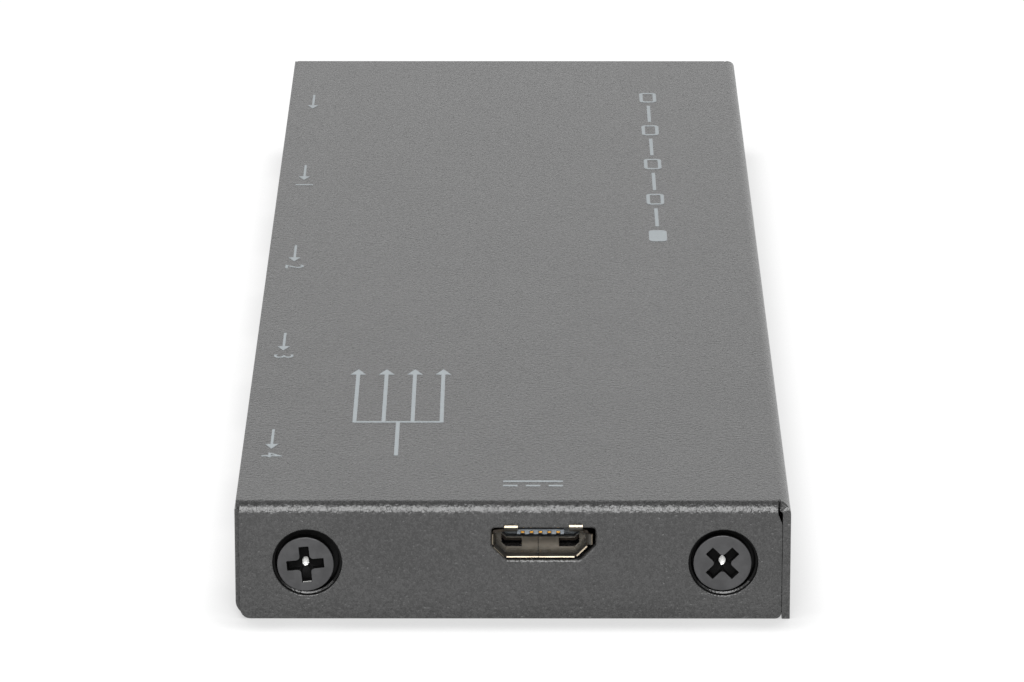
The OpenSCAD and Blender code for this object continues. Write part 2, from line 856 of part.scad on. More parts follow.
// Folded shell with flared lips at its mouth and feet that lie on the board
module video_socket_shell(i) {
    side_l = video_h - video_c;
    color("silver")
        at_video(i) {
            translate([0, 0, lip_reach])
                linear_extrude(video_l - lip_reach)
                    socket_wall(video_w, video_h, video_c, shell_t);
            translate([0, video_h / 2, 0]) video_lip(video_w);
            translate([0, -video_h / 2, 0]) rotate([0, 0, 180]) video_lip(video_w - 2 * video_c);
            for (m = [0, 1])
                mirror([m, 0, 0]) {
                    translate([video_w / 2, video_c / 2, 0]) rotate([0, 0, -90]) video_lip(side_l);
                    for (z = [leg_front, leg_rear])
                        translate([video_w / 2 - shell_t, socket_drop, z])
                            cube([leg_l + shell_t, shell_t, leg_w]);
                }
        }
}

module video_lip(edge) {
    lip(edge - 2 * lip_corner, lip_reach, lip_flare, shell_t);
}

// Insulator: a block that fills the back of the shell and a tongue between the contact rows
module video_socket_insulator(i) {
    slot_w = (upper_contacts - 1) * contact_pitch + contact_w + 2 * fit_gap;
    slot_h = contact_t + fit_gap;
    color("black")
        at_video(i)
            difference() {
                union() {
                    translate([0, 0, block_front])
                        linear_extrude(video_l - block_front)
                            socket_outline(video_w, video_h, video_c, -shell_t - fit_gap);
                    translate([-tongue_w / 2, tongue_low, tongue_tip])
                        cube([tongue_w, tongue_t, block_front - tongue_tip]);
                }
                for (y = [tongue_top, tongue_low - slot_h])
                    translate([-slot_w / 2, y, block_front - over])
                        cube([slot_w, slot_h, video_l - block_front + 2 * over]);
            }
}

// Two rows of contacts on the tongue, the lower one half a step aside, with tails on the board
module video_socket_contacts(i) {
    start = tongue_tip + contact_setback;
    turn = video_l + tail_gap;
    end = video_l + tail_l;
    color("gold")
        at_video(i) {
            contact_row(upper_contacts)
                contact(contact_w, contact_t, start, turn, end, tongue_top, socket_drop);
            contact_row(upper_contacts - 1)
                contact(contact_w, contact_t, start, turn, end, tongue_low - contact_t, socket_drop);
        }
}

module contact_row(count) {
    for (n = [0 : count - 1])
        translate([(n - (count - 1) / 2) * contact_pitch, 0, 0])
            children();
}

// Power socket

// Folded shell over the board, with flared lips outside the end flange
module power_socket_shell() {
    bottom_l = power_w - 2 * power_c;
    color("silver")
        at_power() {
            difference() {
                linear_extrude(power_l) socket_wall(power_w, power_h, power_c, power_t);
                power_top_notch();
                for (m = [0, 1]) mirror([m, 0, 0]) latch_window();
            }
            translate([0, 0, -power_lip_reach]) {
                for (s = [-1, 1])
                    translate([s * power_lip_spread / 2 - power_lip_shift, power_h / 2, 0])
                        lip(power_lip_w, power_lip_reach, power_lip_flare, power_t);
                translate([0, -power_h / 2, 0])
                    rotate([0, 0, 180])
                        power_edge_lip(bottom_l, power_port_flare);
                power_side_lips(power_port_flare);
                mirror([1, 0, 0]) power_side_lips(power_side_flare);
            }
        }
}

// Space between the upper lips, where the top of the shell is cut back
module power_top_notch() {
    w = power_lip_spread - power_lip_w;
    translate([-w / 2 - power_lip_shift, 0, -over])
        cube([w, power_h, power_notch + over]);
}

// Window in the floor of the shell that a plug's latch springs into
module latch_window() {
    translate([latch_inner, -power_h, latch_front])
        cube([latch_w, power_h, latch_l]);
}

// Upright lip and slanted lip on one side
module power_side_lips(flare) {
    translate([power_w / 2, power_c / 2, 0])
        rotate([0, 0, -90])
            power_edge_lip(power_h - power_c, flare);
    translate([(power_w - power_c) / 2, (power_c - power_h) / 2, 0])
        rotate([0, 0, -135])
            power_edge_lip(power_c * sqrt(2), flare);
}

module power_edge_lip(edge, flare) {
    lip(edge - 2 * power_lip_corner, power_lip_reach, flare, power_t);
}

// Block that fills the back of the shell, and a tongue with a groove for each contact
module power_socket_insulator() {
    color("lightgray")
        at_power()
            difference() {
                union() {
                    translate([0, 0, power_block_front])
                        linear_extrude(power_l - power_block_front)
                            socket_outline(power_w, power_h, power_c, -power_t - fit_gap);
                    translate([-power_tongue_w / 2, power_tongue_low, power_tongue_tip])
                        cube([power_tongue_w, power_tongue_t, power_block_front - power_tongue_tip]);
                }
                power_contact_row() contact_groove();
            }
}

// Groove that is open below and in front
module contact_groove() {
    w = power_contact_w + 2 * fit_gap;
    h = power_contact_sunk + power_contact_t + fit_gap;
    translate([-w / 2, power_tongue_low - fit_gap, power_tongue_tip - over])
        cube([w, h + fit_gap, power_l - power_tongue_tip + 2 * over]);
}

// Contacts in the tongue, with tails on the board behind the socket
module power_socket_contacts() {
    turn = power_l + tail_gap;
    end = power_l + power_tail_l;
    foot = -power_h / 2 - power_lift;
    w = power_contact_w;
    color("gold")
        at_power()
            power_contact_row()
                contact(w, power_contact_t, power_tongue_tip, turn, end, power_contact_low, foot);
}

module power_contact_row() {
    for (n = [0 : power_contacts - 1])
        translate([(n - (power_contacts - 1) / 2) * power_pitch, 0, 0])
            children();
}

// Lights

// Clear guides through the port wall, beside each output
module light_guides() {
    color("whitesmoke")
        for (i = [0 : socket_count - 2])
            translate([x_port, gap_y(i), guide_z])
                rotate([0, 90, 0]) {
                    cylinder(h = guide_l, d = guide_d);
                    translate([0, 0, sheet_t]) cylinder(h = guide_collar_t, d = guide_collar_d);
                }
}

module status_lights() {
    color("white")
        for (i = [0 : socket_count - 2])
            on_board(x_port + guide_l + light_gap + light_size[0] / 2, gap_y(i))
                block(light_size);
}

// Parts on the board

module splitter_chip() {
    color("black")
        on_board(splitter_x, 0)
            block([splitter_s, splitter_s, splitter_h]);
}

module thermal_pad() {
    color("lightblue")
        on_board(splitter_x, 0)
            translate([0, 0, splitter_h])
                block([splitter_s, splitter_s, pad_t]);
}

// Slotted plate that carries the heat from the chip up to the cover
module heat_spreader() {
    h = z_under - board_top - splitter_h - pad_t;
    slots = floor((spreader_s - spreader_slot_w) / spreader_pitch);
    color("silver")
        on_board(splitter_x, 0)
            translate([0, 0, splitter_h + pad_t])
                difference() {
                    block([spreader_s, spreader_s, h]);
                    for (n = [0 : slots - 1])
                        translate([(n - (slots - 1) / 2) * spreader_pitch, 0, h - spreader_slot])
                            block([spreader_slot_w, spreader_s + over, spreader_slot + over]);
                }
}

module output_drivers() {
    color("black")
        for (i = [0 : socket_count - 2])
            on_board(tail_x + driver_away, socket_y(i))
                block([driver_s, driver_s, driver_h]);
}

module control_chip() {
    color("black")
        on_board(splitter_x, y_rear - control_end)
            leaded_chip([control_s, control_s, control_h], control_leads, control_pitch, [0, 90, 180, 270]);
}

module memory_chip() {
    leads = 4;
    color("black")
        on_board(splitter_x, y_rear - control_end - memory_away)
            leaded_chip([memory_w, memory_l, memory_h], leads, memory_pitch, [0, 180]);
}

module clock_crystal() {
    color("lightgray")
        on_board(splitter_x + splitter_s / 4, splitter_s / 2 + crystal_away)
            block(crystal_size);
}

module input_fuse() {
    color("darkolivegreen")
        on_board(power_columns[0], power_row_y(0))
            block(fuse_size);
}

module power_inductors() {
    color("darkslategray")
        for (x = power_columns)
            on_board(x, power_row_y(1))
                block(inductor_size);
}

module regulator_chips() {
    leads = 3;
    color("black")
        for (x = power_columns)
            on_board(x, power_row_y(2))
                leaded_chip(regulator_size, leads, regulator_pitch, [0, 180]);
}

module bulk_capacitors() {
    color("goldenrod")
        for (x = [power_columns[0] - bulk_pitch, power_columns[0]])
            on_board(x, power_row_y(3))
                block(bulk_size);
}

module small_capacitors() {
    per_driver = 4;
    color("tan")
        for (i = [0 : socket_count - 2])
            for (n = [0 : per_driver - 1])
                on_board(tail_x + driver_away + driver_s / 2 + capacitor_away,
                         socket_y(i) + (n - (per_driver - 1) / 2) * capacitor_pitch)
                    block(capacitor_size);
}

module small_resistors() {
    per_row = 5;
    away = splitter_s / 2 + resistor_away;
    color("dimgray")
        for (y = [-away, away])
            for (n = [0 : per_row - 1])
                on_board(splitter_x + (n - (per_row - 1) / 2) * resistor_pitch, y)
                    block(resistor_size);
}

module surge_arrays() {
    color("black")
        for (i = [0 : socket_count - 1])
            for (s = [-1, 1])
                on_board(tail_x + surge_away, socket_y(i) + s * surge_pitch / 2)
                    block(surge_size);
}

top_cover();
bottom_chassis();
case_screws();
board_posts();
board_screws();
main_board();
for (i = [0 : socket_count - 1]) {
    video_socket_shell(i);
    video_socket_insulator(i);
    video_socket_contacts(i);
}
power_socket_shell();
power_socket_insulator();
power_socket_contacts();
splitter_chip();
thermal_pad();
heat_spreader();
output_drivers();
control_chip();
memory_chip();
clock_crystal();
input_fuse();
regulator_chips();
power_inductors();
bulk_capacitors();
small_capacitors();
small_resistors();
surge_arrays();
status_lights();
light_guides();
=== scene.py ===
import math

import bmesh
import bpy
from mathutils import Matrix, Vector
from mathutils.geometry import delaunay_2d_cdt


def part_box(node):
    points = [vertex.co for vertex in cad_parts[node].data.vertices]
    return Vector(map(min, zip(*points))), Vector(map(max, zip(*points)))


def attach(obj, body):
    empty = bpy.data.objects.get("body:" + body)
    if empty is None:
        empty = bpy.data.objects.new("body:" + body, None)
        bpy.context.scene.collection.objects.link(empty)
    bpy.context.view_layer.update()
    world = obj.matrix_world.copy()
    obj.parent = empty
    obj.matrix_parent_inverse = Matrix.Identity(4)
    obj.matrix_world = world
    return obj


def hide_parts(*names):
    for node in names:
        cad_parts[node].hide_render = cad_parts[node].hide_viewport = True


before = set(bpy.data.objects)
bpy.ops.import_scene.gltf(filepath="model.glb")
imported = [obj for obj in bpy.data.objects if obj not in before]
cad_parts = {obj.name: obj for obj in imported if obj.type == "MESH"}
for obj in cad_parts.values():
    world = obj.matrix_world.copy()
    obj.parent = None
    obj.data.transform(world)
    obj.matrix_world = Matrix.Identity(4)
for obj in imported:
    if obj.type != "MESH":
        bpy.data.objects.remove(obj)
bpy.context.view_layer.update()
mm = 0.001  # shapes are worked out in millimetres, in the CAD frame
print("frame loaded:", len(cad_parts), "nodes")


# shape tools

def nodeBox(name):
    low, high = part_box(name)
    return low / mm, high / mm


def nodeMiddle(name):
    low, high = nodeBox(name)
    return (low + high) / 2


def roundPath(corners, closed=True, steps=5):
    # corners are (x, y) or (x, y, radius); an arc takes the place of a corner that has a radius
    path = []
    for i, corner in enumerate(corners):
        here = Vector(corner[:2])
        isEnd = not closed and i in (0, len(corners) - 1)
        if len(corner) < 3 or isEnd:
            path.append(here)
            continue
        back = (Vector(corners[i - 1][:2]) - here).normalized()
        ahead = (Vector(corners[(i + 1) % len(corners)][:2]) - here).normalized()
        half = back.angle(ahead) / 2
        middle = here + (back + ahead).normalized() * (corner[2] / math.sin(half))
        first = here + back * (corner[2] / math.tan(half)) - middle
        last = here + ahead * (corner[2] / math.tan(half)) - middle
        turn = math.atan2(first.x * last.y - first.y * last.x, first.dot(last))
        count = max(1, math.ceil(abs(turn) / (math.pi / 2) * steps - 1e-3))  # steps are for a quarter turn
        path += [middle + Matrix.Rotation(turn * k / count, 2) @ first for k in range(count + 1)]
    return path


def circlePath(x, y, radius, count=64):
    angles = [2 * math.pi * k / count for k in range(count)]
    return [Vector((x + radius * math.cos(a), y + radius * math.sin(a))) for a in angles]


def offsetPath(path, distance):
    # a closed path moved to its left
    moved = []
    for i, here in enumerate(path):
        before = (here - path[i - 1]).normalized()
        after = (path[(i + 1) % len(path)] - here).normalized()
        sideA = Vector((-before.y, before.x))
        sideB = Vector((-after.y, after.x))
        moved.append(here + (sideA + sideB) * (distance / (1 + sideA.dot(sideB))))
    return moved


def runsLeft(path):
    area = sum(a.x * b.y - a.y * b.x for a, b in zip(path, path[1:] + path[:1]))
    return area > 0


def joinRings(bm, rings):
    for ringA, ringB in zip(rings, rings[1:]):
        for k in range(len(ringA)):
            n = (k + 1) % len(ringA)
            bm.faces.new((ringA[k], ringA[n], ringB[n], ringB[k]))


def fillRings(bm, rings, flat):
    # triangles between an outer ring and the rings inside it; flat turns a vertex into two numbers
    verts, loops = [], []
    for ring in rings:
        numbers = list(range(len(verts), len(verts) + len(ring)))
        loops.append(numbers if runsLeft([flat(v) for v in ring]) else numbers[::-1])
        verts += ring
    trianglesInside, mergeDistance = 1, 1e-7
    found = delaunay_2d_cdt([flat(v) for v in verts], [], loops, trianglesInside, mergeDistance)
    faces, sources, loopsRound = found[2], found[3], found[5]
    for face, around in zip(faces, loopsRound):
        if list(around) == [0]:
            bm.faces.new([verts[sources[i][0]] for i in face])


def turnOutward(bm):
    # each closed solid of the piece by itself
    bmesh.ops.recalc_face_normals(bm, faces=bm.faces[:])
    waiting = set(bm.faces)
    while waiting:
        solid, border = set(), [waiting.pop()]
        while border:
            face = border.pop()
            solid.add(face)
            near = {f for e in face.edges for f in e.link_faces} & waiting
            waiting -= near
            border += near
        if sum(f.calc_center_median().dot(f.normal) * f.calc_area() for f in solid) < 0:
            bmesh.ops.reverse_faces(bm, faces=list(solid))


shading = {"sharp": 38, "bevelFrom": 35, "bevelSegments": 2}  # angles in degrees


def addPiece(name, bm, names, replaced=(), bevel=0.0):
    # names are its finishes, in the order of the faces' numbers
    turnOutward(bm)
    bmesh.ops.scale(bm, vec=(mm, mm, mm), verts=bm.verts[:])
    mesh = bpy.data.meshes.new(name)
    bm.to_mesh(mesh)
    bm.free()
    mesh.shade_smooth()
    mesh.set_sharp_from_angle(angle=math.radians(shading["sharp"]))
    for finish in names:
        mesh.materials.append(finishes[finish])
    piece = bpy.data.objects.new(name, mesh)
    bpy.context.scene.collection.objects.link(piece)
    if bevel:
        soften(piece, bevel)
    weighted = piece.modifiers.new("weighted", "WEIGHTED_NORMAL")
    weighted.keep_sharp = True
    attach(piece, "root")
    if replaced:
        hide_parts(*replaced)


def soften(piece, width):
    bevel = piece.modifiers.new("soften", "BEVEL")
    bevel.width = width * mm
    bevel.segments = shading["bevelSegments"]
    bevel.limit_method = "ANGLE"
    bevel.angle_limit = math.radians(shading["bevelFrom"])
    bevel.use_clamp_overlap = True


# folded sheet metal: a flat slab with holes, cut along its bends and then folded

anywhere = {"low": -1e3, "high": 1e3}  # reach of a bend that crosses the whole sheet


def foldPoint(point, bends):
    u, v, depth = point
    for bend in bends:
        toX, toY = bend["towards"]
        past = u * toX + v * toY - bend["start"]
        across = u if toX == 0 else v
        if past < -1e-6 or not bend["low"] <= across <= bend["high"]:
            continue
        radius = bend["radius"]
        turn = min(past / radius, math.pi / 2)
        rest = max(past - radius * math.pi / 2, 0)
        move = (radius - depth) * math.sin(turn) - past
        drop = radius - (radius - depth) * math.cos(turn) + rest
        return u + toX * move, v + toY * move, drop
    return u, v, depth


def cutBend(bm, bend, steps):
    toX, toY = bend["towards"]
    for k in range(steps + 1):
        at = bend["start"] + bend["radius"] * math.pi / 2 * k / steps
        faces = []
        for face in bm.faces:
            middle = face.calc_center_median()
            if bend["low"] <= (middle.x if toX == 0 else middle.y) <= bend["high"]:
                faces.append(face)
        edges = {e for f in faces for e in f.edges}
        verts = {v for f in faces for v in f.verts}
        bmesh.ops.bisect_plane(bm, geom=list(verts) + list(edges) + faces, dist=1e-5,
                               plane_co=(toX * at, toY * at, 0), plane_no=(toX, toY, 0))


def foldedSheet(loops, bends, base, rise, bendSteps=10):
    # loops are (path, section), the outline first
    # a section is (distance into the sheet, depth) from face to face
    bm = bmesh.new()
    outer, inner = [], []
    for number, (path, section) in enumerate(loops):
        if runsLeft(path) != (number == 0):
            path = path[::-1]
        rings = [[bm.verts.new((*p, depth)) for p in offsetPath(path, into)] for into, depth in section]
        joinRings(bm, rings)
        outer.append(rings[0])
        inner.append(rings[-1])
    fillRings(bm, outer, lambda v: v.co.xy)
    fillRings(bm, inner, lambda v: v.co.xy)
    for bend in bends:
        cutBend(bm, bend, bendSteps)
    for vert in bm.verts:
        x, y, drop = foldPoint(vert.co, bends)
        vert.co = (x, y, base + rise * drop)
    return bm


def edgeSection(sheet, outerRound, innerRound, far):
    corners = [(far, 0), (0, 0, outerRound), (0, sheet, innerRound), (far, sheet)]
    return roundPath(corners, closed=False, steps=4)


# pressed tubes: cells of sheet round an outline, some left out for slots and lips

def outlineColumns(corners, marks, steps=4):
    # corners (x, y, radius) run anticlockwise; marks are extra columns on an edge, from its middle
    columns = []
    for i, (x, y, radius) in enumerate(corners):
        here = Vector((x, y))
        after = Vector(corners[(i + 1) % len(corners)][:2])
        comes = (here - Vector(corners[i - 1][:2])).normalized()
        goes = (after - here).normalized()
        turn = math.atan2(comes.x * goes.y - comes.y * goes.x, comes.dot(goes))
        outward = Vector((comes.y, -comes.x))
        middle = here - comes * (radius * math.tan(turn / 2)) - outward * radius
        for k in range(steps + 1):
            normal = Matrix.Rotation(turn * k / steps, 2) @ outward
            columns.append({"point": middle + normal * radius, "normal": normal, "edge": None, "at": 0})
        for at in marks.get(i, ()):
            columns.append({"point": (here + after) / 2 + goes * at, "normal": Vector((goes.y, -goes.x)),
                            "edge": i, "at": at})
    return columns


def cellSheet(bm, rowCount, columnCount, solid, spot, lipRows):
    # finishes: outside, cut edges, inner faces of the lips, ends of the lips, inside
    verts = {}

    def vert(row, column, side):
        key = (row, column % columnCount, side)
        if key not in verts:
            verts[key] = bm.verts.new(spot(*key))
        return verts[key]

    cells = {(r, c) for r in range(rowCount - 1) for c in range(columnCount) if solid(r, c)}
    for r, c in sorted(cells):
        corners = [(r, c), (r, c + 1), (r + 1, c + 1), (r + 1, c)]
        beside = [(r - 1, c), (r, (c + 1) % columnCount), (r + 1, c), (r, (c - 1) % columnCount)]
        for side in (0, 1):
            face = bm.faces.new([vert(*corner, side) for corner in corners])
            face.material_index = (2 if r < lipRows else 4) if side else 0
        for k in range(4):
            if beside[k] not in cells:
                a, b = corners[k], corners[(k + 1) % 4]
                edge = bm.faces.new([vert(*a, 0), vert(*b, 0), vert(*b, 1), vert(*a, 1)])
                edge.material_index = 3 if r == 0 and k == 0 else 1


# shader tools

def colour(red, green, blue):
    # screen values from 0 to 255, as the linear colour a socket takes
    def linear(value):
        value /= 255
        return value / 12.92 if value <= 0.04045 else ((value + 0.055) / 1.055) ** 2.4
    return (linear(red), linear(green), linear(blue), 1)


class Wire:
    # a node's output; sums and products with it add Math nodes
    def __init__(self, paint, socket):
        self.paint = paint
        self.socket = socket

    def __add__(self, other):
        return self.paint.math("ADD", self, other)

    def __radd__(self, other):
        return self.paint.math("ADD", other, self)

    def __sub__(self, other):
        return self.paint.math("SUBTRACT", self, other)

    def __rsub__(self, other):
        return self.paint.math("SUBTRACT", other, self)

    def __mul__(self, other):
        return self.paint.math("MULTIPLY", self, other)

    def __rmul__(self, other):
        return self.paint.math("MULTIPLY", other, self)

    def __truediv__(self, other):
        return self.paint.math("DIVIDE", self, other)

    def __rtruediv__(self, other):
        return self.paint.math("DIVIDE", other, self)

    def __pow__(self, other):
        return self.paint.math("POWER", self, other)


class Paint:
    # a node tree, of a material or the world
    def __init__(self, owner):
        owner.use_nodes = True
        self.tree = owner.node_tree
        self.tree.nodes.clear()

    def node(self, kind, settings=None, sockets=None, output=0):
        node = self.tree.nodes.new(kind)
        for name, value in (settings or {}).items():
            setattr(node, name, value)
        for name, value in (sockets or {}).items():
            if isinstance(value, Wire):
                self.tree.links.new(value.socket, node.inputs[name])
            else:
                node.inputs[name].default_value = value
        return Wire(self, node.outputs[output]) if node.outputs else None

    def math(self, operation, first, second):
        return self.node("ShaderNodeMath", {"operation": operation}, {0: first, 1: second})

    def place(self):
        return self.node("ShaderNodeTexCoord", output="Object")

    def noise(self, size, detail=2, roughness=0.5, place=None):
        # size is the grain in millimetres
        sockets = {"Vector": place or self.place(), "Scale": 1 / (size * mm)}
        sockets |= {"Detail": detail, "Roughness": roughness}
        return self.node("ShaderNodeTexNoise", None, sockets, "Fac")

    def ramp(self, value, low, high, outLow=0.0, outHigh=1.0):
        settings = {"interpolation_type": "SMOOTHSTEP"}
        sockets = {0: value, 1: low, 2: high, 3: outLow, 4: outHigh}
        return self.node("ShaderNodeMapRange", settings, sockets)

    def mix(self, share, colourA, colourB):
        return self.node("ShaderNodeMix", {"data_type": "RGBA"}, {0: share, 6: colourA, 7: colourB}, 2)

    def bump(self, height, depth):
        # depth in millimetres is what a height of 1 stands for
        sockets = {"Height": height, "Distance": depth * mm, "Strength": 1.0}
        return self.node("ShaderNodeBump", None, sockets)

    def surface(self, sockets):
        shader = self.node("ShaderNodeBsdfPrincipled", None, sockets)
        self.node("ShaderNodeOutputMaterial", None, {"Surface": shader})


def newFinish(name):
    material = bpy.data.materials.new(name)
    return material, Paint(material)


# finishes

powderCoat = {
    "dark": colour(42, 42, 42),
    "pale": colour(60, 60, 60),
    "grain": 0.24,       # pimples of the coat, millimetres
    "fine": 0.08,        # roughness on them
    "dust": 6,           # soft clouds over them
    "depth": 0.075,
    "roughness": (0.22, 0.32),
    "gloss": 1.57,       # index of refraction
}


def powderCoatFinish():
    material, paint = newFinish("powderCoat")
    place = paint.place()
    grain = paint.noise(powderCoat["grain"], 1, 0.5, place)
    fine = paint.noise(powderCoat["fine"], 1, 0.5, place)
    dust = paint.noise(powderCoat["dust"], 3, 0.6, place)
    tint = paint.ramp(fine * 0.55 + grain * 0.3 + dust * 0.15, 0.36, 0.64)
    low, high = powderCoat["roughness"]
    paint.surface({
        "Base Color": paint.mix(tint, powderCoat["dark"], powderCoat["pale"]),
        "Roughness": paint.ramp(fine * 0.5 + grain * 0.5, 0.3, 0.7, low, high),
        "IOR": powderCoat["gloss"],
        "Normal": paint.bump(grain * 0.8 + fine * 0.2, powderCoat["depth"]),
    })
    return material


blackZinc = {
    "dark": colour(50, 50, 51),
    "pale": colour(62, 62, 63),
    "cloud": 0.9,        # grains, millimetres
    "fine": 0.06,
    "depth": 0.0015,
    "roughness": (0.34, 0.5),
    "metallic": 0.1,
}


def blackZincFinish():
    material, paint = newFinish("blackZinc")
    place = paint.place()
    cloud = paint.noise(blackZinc["cloud"], 3, 0.6, place)
    fine = paint.noise(blackZinc["fine"], 2, 0.5, place)
    low, high = blackZinc["roughness"]
    paint.surface({
        "Base Color": paint.mix(paint.ramp(cloud, 0.3, 0.7), blackZinc["dark"], blackZinc["pale"]),
        "Metallic": blackZinc["metallic"],
        "Roughness": paint.ramp(fine, 0.25, 0.75, low, high),
        "Normal": paint.bump(fine, blackZinc["depth"]),
    })
    return material


nickel = {
    "bright": colour(220, 213, 200),
    "warm": colour(186, 172, 148),
    "cloud": 1.6,
    "rolling": 0.03,     # width of the rolling lines, millimetres
    "stretch": 12,       # their length, in widths
    "depth": 0.0002,
    "roughness": (0.14, 0.26),
}


def nickelFinish():
    material, paint = newFinish("nickel")
    place = paint.place()
    stretch = nickel["stretch"]
    cloud = paint.noise(nickel["cloud"], 3, 0.6, place)
    rolled = paint.node("ShaderNodeMapping", None, {"Vector": place, "Scale": (1, stretch, stretch)})
    lines = paint.noise(nickel["rolling"] * stretch, 2, 0.5, rolled)
    low, high = nickel["roughness"]
    paint.surface({
        "Base Color": paint.mix(paint.ramp(cloud, 0.35, 0.75), nickel["bright"], nickel["warm"]),
        "Metallic": 1.0,
        "Roughness": paint.ramp(lines * 0.6 + cloud * 0.4, 0.3, 0.7, low, high),
        "Normal": paint.bump(lines, nickel["depth"]),
    })
    return material


# inside of the power shell; its colour holds painted light and a painted shadow
shellInside = {
    "mouth": colour(96, 91, 82),
    "deep": colour(226, 216, 200),
    "shade": colour(20, 19, 18),
    "reach": (0.8, 2.8),       # depths between which it brightens, millimetres: painted light, dark near the mouth and bright deeper in
    "shadeReach": (3.7, 4.0),  # depths between which it darkens, below the tongue: a painted shadow
    "cloud": 0.7,
    "ragged": 0.6,             # how far the clouds move the first of these
    "depth": 0.001,
    "roughness": (0.08, 0.16),
    "metallic": 0.5,
}


def shellInsideFinish(start):
    material, paint = newFinish("shellInside")
    place = paint.place()
    cloud = paint.noise(shellInside["cloud"], 3, 0.6, place)
    along = paint.node("ShaderNodeSeparateXYZ", None, {0: place}, "Y")
    # painted light: dark near the mouth and bright deeper in, then a painted shadow below the tongue
    near, far = shellInside["reach"]
    edge = along + cloud * shellInside["ragged"] * mm
    depth = paint.ramp(edge, (start + near) * mm, (start + far) * mm)
    near, far = shellInside["shadeReach"]
    shade = paint.ramp(along, (start + near) * mm, (start + far) * mm)
    metal = paint.mix(depth, shellInside["mouth"], shellInside["deep"])
    low, high = shellInside["roughness"]
    paint.surface({
        "Base Color": paint.mix(shade, metal, shellInside["shade"]),
        "Metallic": shellInside["metallic"],
        "Roughness": paint.ramp(cloud, 0.3, 0.7, low, high),
        "Normal": paint.bump(cloud, shellInside["depth"]),
    })
    return material


# plain finishes: two colours, grain in millimetres, its depth, roughness, metal
# and the index of refraction where it isn't the usual one
plainFinishes = {
    "brightSteel": (colour(196, 197, 199), colour(168, 169, 170), 0.4, 0.001, (0.22, 0.36), 1.0),
    "socketBlack": (colour(22, 22, 23), colour(36, 36, 37), 0.09, 0.002, (0.42, 0.58), 0.0),
    "socketPale": (colour(110, 117, 124), colour(136, 143, 149), 0.08, 0.001, (0.35, 0.5), 0.0),
    # near-black painted shade in the screw pockets
    "pocketShade": (colour(9, 9, 9), colour(16, 16, 16), 0.1, 0.003, (0.4, 0.5), 0.0, 1.2),
    # near-black painted shade in the screws' crosses and on the sides of their heads
    "recessShade": (colour(5, 5, 5), colour(12, 12, 12), 0.1, 0.002, (0.5, 0.6), 0.0, 1.15),
    # near-black painted shade, glossy, low on the step of the screw pockets
    "pocketShadeGloss": (colour(8, 8, 8), colour(18, 18, 18), 0.16, 0.03, (0.25, 0.35), 0.0, 1.6),
    "lipEnd": (colour(172, 160, 140), colour(196, 184, 164), 0.1, 0.001, (0.45, 0.55), 1.0),
    "lipShade": (colour(84, 82, 78), colour(104, 101, 96), 0.1, 0.001, (0.3, 0.42), 0.85),
    "videoInside": (colour(226, 216, 200), colour(212, 202, 186), 0.4, 0.001, (0.3, 0.42), 0.5),
    "wornSteel": (colour(236, 236, 234), colour(214, 214, 212), 0.12, 0.004, (0.4, 0.5), 1.0),
    # cut edges of the shells: dark brown like tarnished alloy, and darkened further as painted shade
    "cutEdgeShade": (colour(34, 29, 24), colour(54, 46, 37), 0.08, 0.002, (0.45, 0.6), 0.6),
    "contactGold": (colour(226, 176, 92), colour(206, 148, 70), 0.15, 0.0005, (0.18, 0.32), 1.0),
    "chipBlack": (colour(30, 30, 31), colour(44, 44, 45), 0.05, 0.003, (0.5, 0.68), 0.0),
    "padBlue": (colour(132, 160, 184), colour(146, 172, 194), 0.3, 0.004, (0.6, 0.75), 0.0),
    "spreaderAluminium": (colour(196, 198, 200), colour(176, 178, 180), 0.25, 0.002, (0.3, 0.45), 1.0),
    "crystalCan": (colour(206, 204, 198), colour(186, 184, 178), 0.2, 0.001, (0.25, 0.38), 1.0),
    "fuseGreen": (colour(62, 88, 62), colour(74, 102, 72), 0.1, 0.001, (0.4, 0.55), 0.0),
    "inductorGrey": (colour(58, 59, 61), colour(76, 77, 79), 0.12, 0.006, (0.6, 0.78), 0.0),
    "capacitorYellow": (colour(196, 150, 62), colour(210, 166, 78), 0.15, 0.001, (0.4, 0.52), 0.0),
    "ceramicTan": (colour(166, 134, 100), colour(184, 152, 116), 0.06, 0.001, (0.4, 0.55), 0.0),
    "resistorDark": (colour(26, 27, 30), colour(40, 41, 44), 0.06, 0.001, (0.3, 0.42), 0.0),
    "lightWhite": (colour(232, 232, 226), colour(240, 240, 236), 0.1, 0.0005, (0.3, 0.4), 0.0),
}


usualIndex = 1.5


def plainFinish(name):
    colourA, colourB, grain, depth, (low, high), metallic, *gloss = plainFinishes[name]
    material, paint = newFinish(name)
    place = paint.place()
    fine = paint.noise(grain, 2, 0.5, place)
    cloud = paint.noise(grain * 9, 3, 0.55, place)
    paint.surface({
        "Base Color": paint.mix(paint.ramp(fine * 0.5 + cloud * 0.5, 0.3, 0.7), colourA, colourB),
        "Metallic": metallic,
        "IOR": gloss[0] if gloss else usualIndex,
        "Roughness": paint.ramp(fine, 0.25, 0.75, low, high),
        "Normal": paint.bump(fine, depth),
    })
    return material


solderMask = {
    "mask": colour(20, 20, 22),
    "track": colour(33, 33, 35),
    "patch": 4,          # squares in which the tracks run one way, millimetres
    "pitch": 0.9,
    "width": 0.45,       # share of the pitch between tracks
    "blend": 0.08,
    "grain": 0.2,
    "depth": 0.02,
    "roughness": (0.24, 0.36),
}


